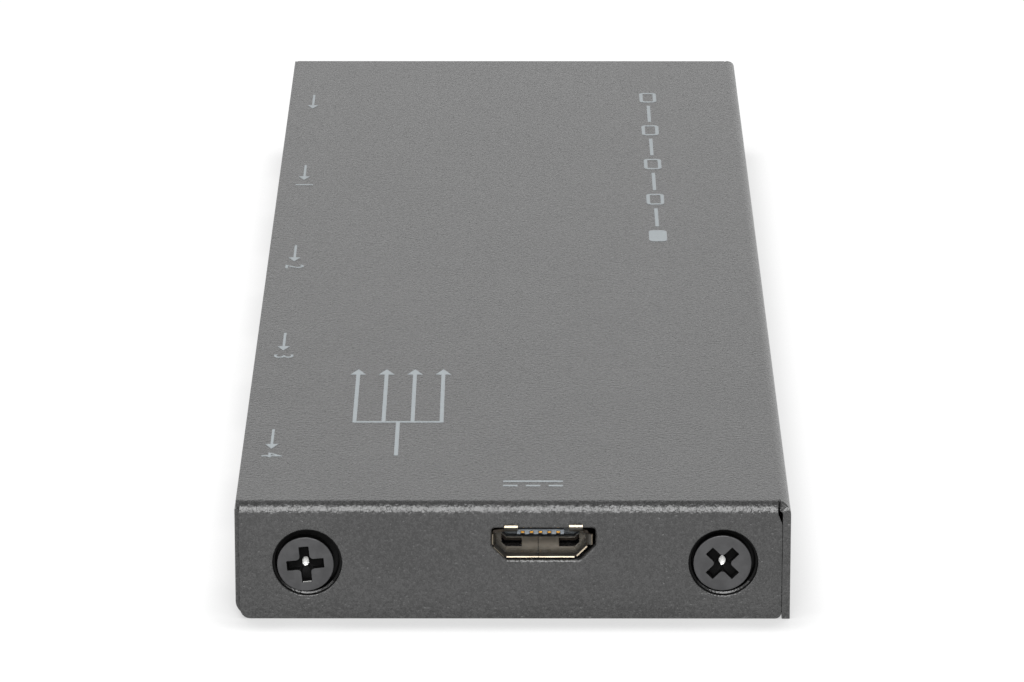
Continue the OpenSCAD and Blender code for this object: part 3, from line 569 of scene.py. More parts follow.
def solderMaskFinish():
    material, paint = newFinish("solderMask")
    place = paint.place()
    patch = solderMask["patch"] * mm
    square = paint.node("ShaderNodeVectorMath", {"operation": "SNAP"}, {0: place, 1: (patch, patch, patch)})
    pick = paint.node("ShaderNodeTexWhiteNoise", None, {"Vector": square}, "Value")
    along = paint.node("ShaderNodeSeparateXYZ", None, {0: place}, "X")
    across = paint.node("ShaderNodeSeparateXYZ", None, {0: place}, "Y")
    turned = paint.math("GREATER_THAN", pick, 0.5)
    line = along * turned + across * (1 - turned)
    halfPitch = solderMask["pitch"] * mm / 2
    wave = paint.math("PINGPONG", line, halfPitch) / halfPitch
    track = paint.ramp(wave, solderMask["width"], solderMask["width"] + solderMask["blend"])
    grain = paint.noise(solderMask["grain"], 2, 0.5, place)
    low, high = solderMask["roughness"]
    paint.surface({
        "Base Color": paint.mix(track, solderMask["mask"], solderMask["track"]),
        "Roughness": paint.ramp(grain, 0.3, 0.7, low, high),
        "Normal": paint.bump(track + grain * 0.1, solderMask["depth"]),
    })
    return material


guideClear = {
    "tint": colour(226, 232, 238),
    "haze": colour(206, 214, 222),
    "cloud": 0.5,
    "roughness": (0.12, 0.24),
    "through": 0.55,     # share of light that passes
    "index": 1.49,
}


def guideClearFinish():
    material, paint = newFinish("guideClear")
    cloud = paint.noise(guideClear["cloud"], 2, 0.5)
    low, high = guideClear["roughness"]
    paint.surface({
        "Base Color": paint.mix(cloud, guideClear["tint"], guideClear["haze"]),
        "Roughness": paint.ramp(cloud, 0.3, 0.7, low, high),
        "Transmission Weight": guideClear["through"],
        "IOR": guideClear["index"],
    })
    return material


printInk = {
    "dense": colour(150, 156, 159),
    "thin": colour(136, 142, 145),
    "grain": 0.12,
    "depth": 0.004,
    "roughness": (0.45, 0.6),
}


def printInkFinish():
    material, paint = newFinish("printInk")
    grain = paint.noise(printInk["grain"], 2, 0.6)
    low, high = printInk["roughness"]
    paint.surface({
        "Base Color": paint.mix(paint.ramp(grain, 0.35, 0.65), printInk["thin"], printInk["dense"]),
        "Roughness": paint.ramp(grain, 0.3, 0.7, low, high),
        "Normal": paint.bump(grain, printInk["depth"]),
    })
    return material


finishes = {name: plainFinish(name) for name in plainFinishes}
finishes["powderCoat"] = powderCoatFinish()
finishes["blackZinc"] = blackZincFinish()
finishes["nickel"] = nickelFinish()
finishes["shellInside"] = shellInsideFinish(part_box("top_cover")[0].y / mm)
finishes["solderMask"] = solderMaskFinish()
finishes["guideClear"] = guideClearFinish()
finishes["printInk"] = printInkFinish()
print("finishes made:", len(finishes))


# sizes that several pieces share, read from the frame

coverLow, coverHigh = nodeBox("top_cover")
chassisLow, chassisHigh = nodeBox("bottom_chassis")
portX, sideX = chassisLow.x, coverHigh.x
frontY, rearY = coverLow.y, coverHigh.y
caseTop = coverHigh.z
outputNames = ["output_4", "output_3", "output_2", "output_1"]
socketNames = outputNames + ["input"]
socketMiddles = {name: nodeMiddle("video_socket_insulator_" + name) for name in socketNames}
powerMiddle = nodeMiddle("power_socket_insulator")

caseScrews = {
    "sides": 64,
    "headRadius": 2.075,
    "recess": 0.25,          # top of the head, in from the end face
    "headHeight": 0.77,
    "shifts": ((-0.14, -0.22), (-0.06, -0.12)),  # of the heads in their pockets
    "grow": (1.0, 1.025),    # of the heads
    "threadRadius": 1.25,
    "length": 4.5,
    "pitch": 0.45,
    "threadDepth": 0.14,
    "plainEnd": 0.5,         # end without thread
    "tip": ((0.7, 0.1), (0.5, 0.0)),  # radius as a share of the thread's, distance from the end
    "rim": 0.06,             # rounding of the head's edge
    "underRim": 0.05,
    "crossSpan": 2.74,
    "crossWidth": 0.74,
    "crossDepth": 0.85,
    "crossCorner": 0.05,
    "crossFillet": 0.26,
    # steps of the cross down to its floor: shares of its span, width and depth
    "floors": ((1.0, 1.0, 0.0), (0.96, 0.96, 0.1), (0.9, 0.92, 0.6), (0.46, 0.84, 0.61)),
    "pit": 0.9,              # depth of the pit's floor, as a share
    "worn": (0.25, 0.36),    # bare spot at the bottom of the cross, across and up
    "wornArms": (True, False),  # and at the end of the lower arm
    "wornReach": 0.12,
    "turns": (5.5, 45),      # degrees, port side and closed side
}
screwLow, screwHigh = nodeBox("case_screws")
screwZ = (screwLow.z + screwHigh.z) / 2
screwXs = (screwLow.x + caseScrews["headRadius"], screwHigh.x - caseScrews["headRadius"])


# top cover

cover = {
    "sheet": 0.6,
    "bend": 0.85,           # outer radius of its bends
    "flangeInset": 0.36,    # end flanges, in from the port wall
    "seam": 0.02,
    "reliefWidth": 0.33,
    "reliefBite": 0.1,
    "reliefDepth": 0.5,
    "reliefHeight": 1.6,
    "portFoot": 0.74,       # corner radii at the feet of the flanges
    "sideFoot": 0.45,
    "outerEdge": 0.035,
    "innerEdge": 0.05,
    "edgeReach": 0.2,
    "hornDrop": 0.55,       # the closed side's end droops and is rounded at its top
    "hornSlope": 58,
    "hornRound": 0.28,
    "hornReach": 1.4,
    "pocketRadius": 2.55,
    "pocketDepth": 1.05,
    "pocketDraft": 0.22,
    "pocketRim": 0.09,
    "pocketStep": ((0.05, 0.33), (0.19, 0.4)),  # in from the rim, depth
    "stepRounds": (0.02, 0.03),
    "floorRounds": (0.12, 0.1, 0.08),  # foot of the wall, both ends of the bore
    "pocketBack": 0.25,     # rounding behind the sheet
    "pocketFlat": 0.35,     # flat sheet round the pocket
    # depth into a pocket past which its faces get the near-black painted shade
    "pocketShadeDepth": 0.12,
    "glossBand": 0.02,      # of the step, above and below it
    "glossFrom": 0.6,       # down from the middle, as a share of the radius
    "pocketWall": 0.45,
    "pocketFloor": 0.6,
    "boreRadius": 1.45,
}
powerWindow = {
    "width": 7.55,
    "height": 2.4,
    "cut": 1.1,
    "shiftX": 0.225,
    "shiftZ": -0.075,
    "corner": 0.22,
    "edge": (0.2, 0.05, 0.25),  # outer and inner rounding, reach
}


def coverEnd(bendY, footY):
    # corners of the flat sheet at the power end, from the open edge to the foot of the closed side
    arc = cover["bend"] * math.pi / 2
    left = portX + cover["flangeInset"]
    right = sideX - cover["sheet"] - cover["seam"]
    relief = sideX - cover["sheet"] - cover["reliefWidth"]
    sideBend = sideX - cover["bend"]
    reliefTop = bendY - arc - cover["reliefHeight"] + cover["bend"]
    hornStart = sideBend + cover["reliefBite"]
    hornY = frontY + cover["reliefDepth"]
    sideFoot = sideBend + arc + caseTop - cover["bend"]
    return [
        (coverLow.x, bendY), (left, bendY),
        (left, footY, cover["portFoot"]), (right, footY, cover["sideFoot"]),
        (right, reliefTop), (relief, bendY - arc), (relief, bendY),
        (sideBend, bendY), (sideBend, hornY), (hornStart, hornY), (hornStart, frontY),
        (sideFoot, frontY),
    ]


def makeCover():
    sheet, bend = cover["sheet"], cover["bend"]
    arc = bend * math.pi / 2
    bendY = frontY + bend
    footY = bendY - arc - (caseTop - bend)
    end = coverEnd(bendY, footY)
    farEnd = [(x, -y, *rest) for x, y, *rest in reversed(end)]
    plainEdge = edgeSection(sheet, cover["outerEdge"], cover["innerEdge"], cover["edgeReach"])
    loops = [(roundPath(end + farEnd), plainEdge)]

    wide = cover["pocketRadius"] - cover["boreRadius"]
    deep, draft, wall = cover["pocketDepth"], cover["pocketDraft"], cover["pocketWall"]
    back = deep + cover["pocketFloor"]
    (stepA, stepTop), (stepB, stepFoot) = cover["pocketStep"]
    stepRoundA, stepRoundB = cover["stepRounds"]
    footRound, boreRoundA, boreRoundB = cover["floorRounds"]
    backRound, flat = cover["pocketBack"], cover["pocketFlat"]
    pocket = roundPath([
        (wide + flat, 0), (wide, 0, cover["pocketRim"]),
        (wide - stepA, stepTop, stepRoundA), (wide - stepB, stepFoot, stepRoundB),
        (wide - draft, deep, footRound), (0, deep, boreRoundA), (0, back, boreRoundB),
        (wide - draft * back / deep + wall, back, backRound),
        (wide - draft * sheet / deep + wall, sheet, backRound),
        (wide + wall + flat, sheet),
    ], closed=False, steps=6)
    for x in screwXs:
        for sign in (1, -1):
            loops.append((circlePath(x, sign * (footY + screwZ), cover["boreRadius"]), pocket))

    half, rise, cut = powerWindow["width"] / 2, powerWindow["height"] / 2, powerWindow["cut"]
    midX = powerMiddle.x + powerWindow["shiftX"]
    midY = footY + powerMiddle.z + powerWindow["shiftZ"]
    corner = powerWindow["corner"]
    window = [(-half, rise, corner), (-half, cut - rise, corner), (cut - half, -rise, corner),
              (half - cut, -rise, corner), (half, cut - rise, corner), (half, rise, corner)]
    path = roundPath([(midX + x, midY + y, r) for x, y, r in window])
    loops.append((path, edgeSection(sheet, *powerWindow["edge"])))

    betweenEnds = {"low": frontY - 1e-3, "high": rearY + 1e-3}
    bends = [
        {"towards": (1, 0), "start": sideX - bend, "radius": bend, **betweenEnds},
        {"towards": (0, -1), "start": -bendY, "radius": bend, **anywhere},
        {"towards": (0, 1), "start": -bendY, "radius": bend, **anywhere},
    ]
    bm = foldedSheet(loops, bends, caseTop, -1)
    slope, curve = math.radians(cover["hornSlope"]), cover["hornRound"]
    reach = cover["hornReach"]
    for vert in bm.verts:
        up = vert.co.z - (caseTop - cover["hornDrop"])
        near = rearY - abs(vert.co.y)
        if vert.co.x > sideX - bend + 1e-4 and up > 0 and near < reach:
            turn = min(math.asin(min(up / curve, 1)), slope)
            away = curve * (1 - math.cos(turn)) + max(up - curve * math.sin(slope), 0) * math.tan(slope)
            vert.co.y = math.copysign(rearY - away - near * (1 - away / reach), vert.co.y)
    # inside the pockets the faces are painted near black as painted shade; low on their step that shade is
    # glossy
    band, glossTop = cover["glossBand"], screwZ - cover["pocketRadius"] * cover["glossFrom"]
    for face in bm.faces:
        middle = face.calc_center_median()
        isIn = any(math.hypot(middle.x - x, middle.z - screwZ) < cover["pocketRadius"] for x in screwXs)
        depth = rearY - abs(middle.y)
        if isIn and depth > cover["pocketShadeDepth"]:
            isGlossy = stepTop - band < depth < stepFoot + band and middle.z < glossTop
            face.material_index = 2 if isGlossy else 1
    addPiece("topCover", bm, ["powderCoat", "pocketShade", "pocketShadeGloss"], ["top_cover"])


makeCover()
print("top cover made")


# bottom chassis

chassis = {
    "sheet": 0.6,
    "bend": 1.1,
    "tabWidth": 6.4,
    "tabSlot": 0.4,
    "tabBend": 0.9,
    "tabRise": 2.6,         # above the middle of the screw
    "tabCorner": 1.0,
    "sideCorner": 0.4,      # of the floor, at the closed side
    "tabFace": 1.65,        # in from the end face
    "threadRadius": 1.28,
    "collarRadius": 2.0,
    "collar": 1.2,
    "windowGrow": 0.5,      # socket windows, round the shells
    "windowCorner": 0.35,
    "guideRadius": 0.83,
    "post": 4.8,            # across the flats
    "postFoot": 4.84,
    "postEdge": 0.04,
    "outerEdge": 0.1,
    "innerEdge": 0.06,
    "edgeReach": 0.15,
    "collarRounds": (0.2, 0.05, 0.15, 0.2),  # from the outer face round to the inner
    "collarFlats": (0.35, 0.4),
}
videoShell = {              # the windows in the port wall follow its outline
    "width": 14.6,
    "height": 5.15,
    "cut": 1.95,
    "thick": 0.3,
    "corner": 0.5,
    "length": 11.5,
    "front": 0.7,
    "lipRoot": 0.9,
    "lipKnee": 0.62,
    "lipTip": 0.14,
    "lipSteps": 6,
    "flare": 0.32,
    "lipCut": 34,
    "tipThick": 0.26,
    "lipGap": 0.62,         # from a corner of the outline to the lip
    "topSprings": (-3.3, 3.3),
    "lowSprings": (-2.6, 2.6),
    "springHalf": 0.9,
    "springSlot": 0.3,
    "springs": (2.6, 7.2),  # depths of their free ends and of their roots
    "press": 0.35,
    "legDepths": (3.2, 8.2),
    "leg": (1.8, 1.0, 0.3),  # along the shell, out from it, thick
    "legTurn": 1.6,         # radius of its bend, in thicknesses
    "legRise": 1.5,         # how far it goes up the wall, in radii
    "springRows": 8,
    "springTurn": 0.62,     # of half a wave
    "bevel": 0.04,
}
gapYs = [(socketMiddles[a].y + socketMiddles[b].y) / 2 for a, b in zip(socketNames, socketNames[1:])]
guideZ = nodeMiddle("light_guides").z
guideSides = 40
postLow, postHigh = nodeBox("board_posts")
postReach = (chassis["post"] / 2) / math.cos(math.radians(30))
postXs = (postLow.x + postReach, postHigh.x - postReach)
postYs = (postLow.y + chassis["post"] / 2, postHigh.y - chassis["post"] / 2)


def socketCorners(width, height, cut, radius, grow=0.0):
    # a socket's outline from its upper left corner, anticlockwise, its middle at 0
    x, y = width / 2 + grow, height / 2 + grow
    slant = cut + grow * (2 - math.sqrt(2))
    points = [(-x, y), (-x, slant - y), (slant - x, -y), (x - slant, -y), (x, slant - y), (x, y)]
    return [(px, py, radius) for px, py in points]


def makeChassis():
    sheet, bend = chassis["sheet"], chassis["bend"]
    arc = bend * math.pi / 2
    endY = chassisHigh.y
    bendX = portX + bend
    wallTop = bendX - arc - (chassisHigh.z - bend)
    notchY = rearY - chassis["tabFace"] - chassis["tabBend"]
    tabArc = chassis["tabBend"] * math.pi / 2
    tabFlat = notchY + tabArc - chassis["tabBend"]
    tabEnd = tabFlat + screwZ + chassis["tabRise"]

    def endCorners(sign):
        corners = []
        for x in screwXs:
            inner = chassis["tabWidth"] / 2
            outer = inner + chassis["tabSlot"]
            corners += [(x - outer, endY), (x - outer, notchY), (x - inner, notchY),
                        (x - inner, tabEnd, chassis["tabCorner"]), (x + inner, tabEnd, chassis["tabCorner"]),
                        (x + inner, notchY), (x + outer, notchY), (x + outer, endY)]
        return [(x, sign * y, *rest) for x, y, *rest in corners]

    outline = [(wallTop, -endY)] + endCorners(-1) + [(chassisHigh.x, -endY, chassis["sideCorner"])]
    outline += [(chassisHigh.x, endY, chassis["sideCorner"])] + endCorners(1)[::-1] + [(wallTop, endY)]
    plainEdge = edgeSection(sheet, chassis["outerEdge"], chassis["innerEdge"], chassis["edgeReach"])
    postEdge = edgeSection(sheet, chassis["postEdge"], chassis["postEdge"], chassis["edgeReach"])
    loops = [(roundPath(outline), plainEdge)]

    grown = socketCorners(videoShell["width"], videoShell["height"], videoShell["cut"],
                          chassis["windowCorner"], chassis["windowGrow"])
    for name in socketNames:
        upTo = bendX - arc + bend - socketMiddles[name].z
        path = roundPath([(upTo - y, socketMiddles[name].y + x, r) for x, y, r in grown])
        loops.append((path, plainEdge))
    for y in gapYs:
        hole = circlePath(bendX - arc + bend - guideZ, y, chassis["guideRadius"], guideSides)
        loops.append((hole, plainEdge))
    for x in postXs:
        for y in postYs:
            foot = chassis["postFoot"] / 2 / math.cos(math.radians(30))
            loops.append((circlePath(x, y, foot, 6), postEdge))
    drawn = chassis["collarRadius"] - chassis["threadRadius"]
    deep = sheet + chassis["collar"]
    outerFlat, innerFlat = chassis["collarFlats"]
    mouth, lipIn, lipOut, root = chassis["collarRounds"]
    collar = roundPath([
        (outerFlat, 0), (0, 0, mouth), (0, deep, lipIn), (drawn, deep, lipOut), (drawn, sheet, root),
        (drawn + innerFlat, sheet),
    ], closed=False, steps=4)
    for x in screwXs:
        for sign in (1, -1):
            loops.append((circlePath(x, sign * (tabFlat + screwZ), chassis["threadRadius"], 48), collar))

    bends = [{"towards": (-1, 0), "start": -bendX, "radius": bend, **anywhere}]
    for x in screwXs:
        reach = chassis["tabWidth"] / 2 + chassis["tabSlot"] / 2
        for sign in (1, -1):
            bends.append({"towards": (0, sign), "start": notchY, "radius": chassis["tabBend"],
                          "low": x - reach, "high": x + reach})
    bm = foldedSheet(loops, bends, 0, 1)
    addPiece("bottomChassis", bm, ["powderCoat"], ["bottom_chassis"])


makeChassis()
print("bottom chassis made")


# case screws

def crossCorners(span, width, fillet):
    a, b, corner = span / 2, width / 2, caseScrews["crossCorner"]
    arm = [(a, -b, corner), (a, b, corner), (b, b, fillet)]
    turns = [Matrix.Rotation(math.pi / 2 * k, 2) for k in range(4)]
    return [(*(turn @ Vector((x, y))), radius) for turn in turns for x, y, radius in arm]


def addScrew(bm, spot, turn, grow, wornArm):
    # spot(x, y, depth) places a point of the screw; depth runs from the end face into the case
    head, recess, rim = caseScrews["headRadius"] * grow, caseScrews["recess"], caseScrews["rim"]
    spin = Matrix.Rotation(math.radians(turn), 2)

    def ring(path, depth):
        return [bm.verts.new(spot(p.x, p.y, depth)) for p in path]

    shank = caseScrews["threadRadius"]
    core = shank - caseScrews["threadDepth"]
    under = recess + caseScrews["headHeight"]
    side = roundPath([(head - rim * 2, recess), (head, recess, rim),
                      (head, under, caseScrews["underRim"]), (core, under)], closed=False)
    profile = [tuple(p) for p in side]
    depth = profile[-1][1]
    end = recess + caseScrews["length"]
    while depth + caseScrews["pitch"] < end - caseScrews["plainEnd"]:
        profile += [(shank, depth + caseScrews["pitch"] / 2), (core, depth + caseScrews["pitch"])]
        depth += caseScrews["pitch"]
    profile += [(shank * share, end - back) for share, back in caseScrews["tip"]]
    turned = [ring(circlePath(0, 0, radius, caseScrews["sides"]), d) for radius, d in profile]
    before = set(bm.faces)
    joinRings(bm, turned)
    origin = spot(0, 0, 0)
    for face in set(bm.faces) - before:
        # the head's side gets the near-black painted shade
        if recess + rim < abs(face.calc_center_median().y - origin.y) < under:
            face.material_index = 1
    bm.faces.new(turned[-1])

    # the arms have steep walls, painted near black as painted shade; in the middle is a pit with a bare, worn
    # floor
    crosses = []
    for spanShare, widthShare, depthShare in caseScrews["floors"]:
        corners = crossCorners(caseScrews["crossSpan"] * spanShare, caseScrews["crossWidth"] * widthShare,
                               caseScrews["crossFillet"] * spanShare)
        path = [spin @ p for p in roundPath(corners, steps=3)]
        crosses.append(ring(path, recess + caseScrews["crossDepth"] * depthShare))
    before = set(bm.faces)
    joinRings(bm, crosses)
    wornX, wornZ = caseScrews["worn"]
    pit = [Vector((p.normalized().x * wornX, p.normalized().y * wornZ)) for p in path]
    pitRing = ring(pit, recess + caseScrews["crossDepth"] * caseScrews["pit"])
    joinRings(bm, [crosses[-1], pitRing])
    armEnd = spin @ Vector((0, -caseScrews["crossSpan"] / 2))
    for face in set(bm.faces) - before:
        away = (face.calc_center_median() - spot(*armEnd, recess)).length
        face.material_index = 2 if wornArm and away < caseScrews["wornReach"] else 1
    bottom = bm.verts.new(spot(0, 0, recess + caseScrews["crossDepth"]))
    for k in range(len(pitRing)):
        bm.faces.new((pitRing[k], pitRing[(k + 1) % len(pitRing)], bottom)).material_index = 2
    fillRings(bm, [turned[0], crosses[0]], lambda v: (v.co - origin).xz)


def makeScrews():
    bm = bmesh.new()
    ways = zip(screwXs, caseScrews["turns"], caseScrews["shifts"], caseScrews["grow"], caseScrews["wornArms"])
    for x, turn, (shiftX, shiftZ), grow, worn in ways:
        headX, headZ = x + shiftX, screwZ + shiftZ
        addScrew(bm, lambda a, b, d, x=headX, z=headZ: Vector((x + a, frontY + d, z + b)), turn, grow, worn)
        addScrew(bm, lambda a, b, d, x=headX, z=headZ: Vector((x - a, rearY - d, z + b)), turn, grow, False)
    addPiece("caseScrews", bm, ["blackZinc", "recessShade", "wornSteel"], ["case_screws"])


makeScrews()
print("case screws made")


# socket shells

left, leftSlant, bottom, rightSlant, right, top = range(6)  # edges of a socket's outline


def lipAt(lips, edge, at):
    for lip in lips.get(edge, ()):
        if lip[0] - 1e-6 <= at <= lip[1] + 1e-6:
            return lip[2:]
    return None


def pressedShell(bm, spec, marks, depths, lips, isHole, press, place):
    # marks are columns on each edge, depths are rows behind the lips
    # place(x, y, depth) gives a point in the case
    corners = socketCorners(spec["width"], spec["height"], spec["cut"], spec["corner"])
    columns = outlineColumns(corners, marks)
    lipRows = spec["lipSteps"]
    depths = [spec["lipRoot"]] + depths

    def cell(row, column):
        a, b = columns[column], columns[(column + 1) % len(columns)]
        edge = a["edge"] if a["edge"] == b["edge"] else None
        depth = (depths[row - lipRows] + depths[row - lipRows + 1]) / 2 if row >= lipRows else 0
        return edge, (a["at"] + b["at"]) / 2, (a["point"] + b["point"]) / 2, depth

    def solid(row, column):
        edge, at, point, depth = cell(row, column)
        if row < lipRows - 1 and (edge is None or lipAt(lips, edge, at) is None):
            return False
        return not isHole(edge, at, point, depth)

    def spot(row, column, side):
        here = columns[column]
        out, normal = 0, Vector((0, 1))
        lip = lipAt(lips, here["edge"], here["at"])
        if row >= lipRows:
            depth = depths[row - lipRows]
            out = -press(here["edge"], here["at"], depth)
        elif lip is None:
            depth = spec["front"]
        else:
            flare, cutAngle = lip[:2]
            depth, out, normal = lipCurve(spec, flare, 1 - row / lipRows)
            if row == 0:
                turn = math.radians(cutAngle)
                normal = Vector((math.sin(turn), math.cos(turn)))
        taper = (1 - row / lipRows) * (lip[2] - spec["thick"]) if lip and row < lipRows else 0
        thick = spec["thick"] + taper
        out -= normal.y * thick * side
        depth -= normal.x * thick * side
        point = here["point"] + here["normal"] * out
        return place(point.x, point.y, depth)

    cellSheet(bm, lipRows + len(depths), len(columns), solid, spot, lipRows)


def lipCurve(spec, flare, share):
    # depth and outward place of a lip's outer face, and its normal there, from its root (0) to its tip (1)
    root, knee, tip = spec["lipRoot"], spec["lipKnee"], spec["lipTip"]
    depth = (1 - share) ** 2 * root + 2 * share * (1 - share) * knee + share ** 2 * tip
    inward = 2 * (1 - share) * (knee - root) + 2 * share * (tip - knee)
    run = Vector((inward, 2 * share * flare)).normalized()
    return depth, share ** 2 * flare, Vector((run.y, -run.x))


powerShell = {
    "width": 7.0,
    "height": 2.05,
    "cut": 0.9,
    "thick": 0.2,
    "corner": 0.22,
    "length": 5.2,
    "front": 0.0,           # depth of its plain edge between the lips
    "lipRoot": 0.3,
    "lipKnee": 0.1,
    "lipTip": -0.2,
    "lipSteps": 6,
    # lips: flare, and the angle and thickness of their ends
    "upper": ((0.4, 30, 0.15), (0.45, 30, 0.15)),
    "closed": (0.3, 62, 0.2),
    "slant": (0.0, -24, 0.1),
    "port": (0.04, 58, 0.15),
    "lower": (0.0, -24, 0.085),
    "upperLips": ((-2.64, -1.66), (2.09, 3.07)),
    "lipGap": 0.11,         # between neighbouring lips
    "lipTopGap": 0.02,      # above the side lips, past the corner
    "notch": 1.2,           # top cut back between the upper lips
    "latch": (1.7, 3.6),    # depths of the latch windows in its floor
    "latchX": (1.36, 3.0),
    "seamX": -0.16,
    "seam": 0.04,
    "bevel": 0.02,
}


def makePowerShell():
    spec = powerShell
    sideHalf = (spec["height"] - spec["cut"]) / 2
    gap = spec["lipGap"]
    sideTop, sideFoot = sideHalf - spec["corner"] - spec["lipTopGap"], sideHalf - gap
    slantHalf = spec["cut"] / math.sqrt(2) - gap
    bottomHalf = spec["width"] / 2 - spec["cut"] - gap
    latchIn, latchOut = spec["latchX"]
    latchSlant = (latchOut - spec["width"] / 2 + spec["cut"] / 2) * math.sqrt(2)
    seamA, seamB = spec["seamX"] - spec["seam"] / 2, spec["seamX"] + spec["seam"] / 2
    (lipA, lipB), (lipC, lipD) = [(-high, -low) for low, high in reversed(spec["upperLips"])]
    lips = {
        left: [(-sideTop, sideFoot, *spec["port"])],
        leftSlant: [(-slantHalf, slantHalf, *spec["port"])],
        bottom: [(-bottomHalf, seamA, *spec["lower"]), (seamB, bottomHalf, *spec["lower"])],
        rightSlant: [(-slantHalf, slantHalf, *spec["slant"])],
        right: [(-sideFoot, sideTop, *spec["closed"])],
        top: [(lipA, lipB, *spec["upper"][1]), (lipC, lipD, *spec["upper"][0])],
    }
    marks = {edge: sorted(at for lip in found for at in lip[:2]) for edge, found in lips.items()}
    marks[leftSlant] = sorted(marks[leftSlant] + [-latchSlant])
    marks[rightSlant] = sorted(marks[rightSlant] + [latchSlant])
    marks[bottom] = sorted(marks[bottom] + [-latchIn, latchIn])

    def isHole(edge, at, point, depth):
        inSeam = edge == bottom and seamA < at < seamB
        inNotch = edge == top and lipB < at < lipC and depth < spec["notch"]
        isFloor = point.y < 0 and latchIn < abs(point.x) < latchOut
        inLatch = isFloor and spec["latch"][0] < depth < spec["latch"][1]
        return inSeam or inNotch or inLatch

    bm = bmesh.new()
    depths = [spec["notch"], *spec["latch"], spec["length"]]
    pressedShell(bm, spec, marks, depths, lips, isHole, lambda edge, at, depth: 0,
                 lambda x, y, depth: Vector((powerMiddle.x + x, frontY + depth, powerMiddle.z + y)))
    names = ["nickel", "cutEdgeShade", "lipShade", "lipEnd", "shellInside"]
    addPiece("powerShell", bm, names, ["power_socket_shell"], bevel=spec["bevel"])


def makeVideoShell(name):
    spec = videoShell
    sideLength, slantLength = spec["height"] - spec["cut"], spec["cut"] * math.sqrt(2)
    edgeLengths = {
        left: sideLength, leftSlant: slantLength, bottom: spec["width"] - 2 * spec["cut"],
        rightSlant: slantLength, right: sideLength, top: spec["width"],
    }
    marks, lips = {}, {}
    for edge, length in edgeLengths.items():
        half = length / 2 - spec["lipGap"]
        lips[edge] = [(-half, half, spec["flare"], spec["lipCut"], spec["tipThick"])]
        marks[edge] = [-half, half]
    inner = spec["springHalf"]
    outer = inner + spec["springSlot"]
    springs = [(top, at) for at in spec["topSprings"]] + [(bottom, at) for at in spec["lowSprings"]]
    for edge, at in springs:
        marks[edge] += [at - outer, at - inner, at + inner, at + outer]
    marks = {edge: sorted(places) for edge, places in marks.items()}
    tip, root = spec["springs"]
    slotEnd = tip - spec["springSlot"]

    def isHole(edge, at, point, depth):
        for springEdge, middle in springs:
            away = abs(at - middle)
            if edge == springEdge and away < outer and slotEnd < depth < root:
                return away > inner or depth < tip
        return False

    def press(edge, at, depth):
        onSpring = any(edge == e and abs(at - middle) < inner + 1e-6 for e, middle in springs)
        if not onSpring or not tip - 1e-6 <= depth < root:
            return 0
        return spec["press"] * math.sin((root - depth) / (root - tip) * math.pi * spec["springTurn"])

    rows = spec["springRows"]
    depths = [slotEnd] + [tip + (root - tip) * k / rows for k in range(rows + 1)] + [spec["length"]]
    middle = socketMiddles[name]
    bm = bmesh.new()
    pressedShell(bm, spec, marks, depths, lips, isHole, press,
                 lambda x, y, depth: Vector((portX + depth, middle.y - x, middle.z + y)))
    along, reach, thick = spec["leg"]
    for depth in spec["legDepths"]:
        for side in (-1, 1):
            wallY = middle.y + side * (spec["width"] / 2 - spec["thick"])
            footY = middle.y + side * (spec["width"] / 2 + reach)
            addFoot(bm, portX + depth, along, wallY, footY, boardTop, thick)
    names = ["nickel", "cutEdgeShade", "nickel", "nickel", "videoInside"]
    replaced = ["video_socket_shell_" + name]
    addPiece("videoShell." + name, bm, names, replaced, bevel=spec["bevel"])


def addFoot(bm, x, along, wallY, footY, low, thick):
    # a soldering foot, rounded where it turns up into the shell's wall
    turn = thick * videoShell["legTurn"]
    rise = turn * videoShell["legRise"]
    out = abs(footY - wallY)
    sign = 1 if footY > wallY else -1
    corners = [(0, rise), (0, 0, turn), (out, 0), (out, thick), (thick, thick, turn - thick), (thick, rise)]
    ring = roundPath(corners, steps=4)
    ends = [[bm.verts.new((x + dx, wallY + sign * p.x, low + p.y)) for p in ring] for dx in (0, along)]
    joinRings(bm, ends)
    fillRings(bm, [ends[0]], lambda v: v.co.yz)
    fillRings(bm, [ends[1]], lambda v: v.co.yz)


boardTop = nodeBox("main_board")[1].z
makePowerShell()
for socketName in socketNames:
    makeVideoShell(socketName)
print("socket shells made")


# light guides

guides = {
    "sides": guideSides,
    "radius": 0.8,
    "dome": 0.22,
    "domeSteps": 6,
    "collarRadius": 1.2,
    "collar": (0.65, 1.05),  # depths
    "rounds": (0.05, 0.08, 0.1),  # beside the collar, on it, at the inner end
    "endFlat": 0.3,
}


def makeGuides():
    low, high = nodeBox("light_guides")
    radius, rim = guides["radius"], guides["collarRadius"]
    near, far = guides["collar"]
    length, sides, steps = high.x - low.x, guides["sides"], guides["domeSteps"]
    besideRound, collarRound, endRound = guides["rounds"]
    angles = [math.pi / 2 * k / steps for k in range(1, steps + 1)]
    bulge = [(radius * math.sin(a), guides["dome"] * (1 - math.cos(a))) for a in angles]
    rest = roundPath([
        bulge[-1], (radius, near, besideRound), (rim, near, collarRound), (rim, far, collarRound),
        (radius, far, besideRound), (radius, length, endRound), (radius - guides["endFlat"], length),
    ], closed=False, steps=3)
    profile = bulge[:-1] + [tuple(p) for p in rest]
    bm = bmesh.new()
    for y in gapYs:
        rings = [[bm.verts.new((low.x + depth, y + p.x, guideZ + p.y)) for p in circlePath(0, 0, r, sides)]
                 for r, depth in profile]
        joinRings(bm, rings)
        bm.faces.new(rings[-1])
        nose = bm.verts.new((low.x, y, guideZ))
        for k in range(sides):
            bm.faces.new((rings[0][k], rings[0][(k + 1) % sides], nose))
    addPiece("lightGuides", bm, ["guideClear"], ["light_guides"])


makeGuides()
print("light guides made")


# pieces that keep their CAD shape

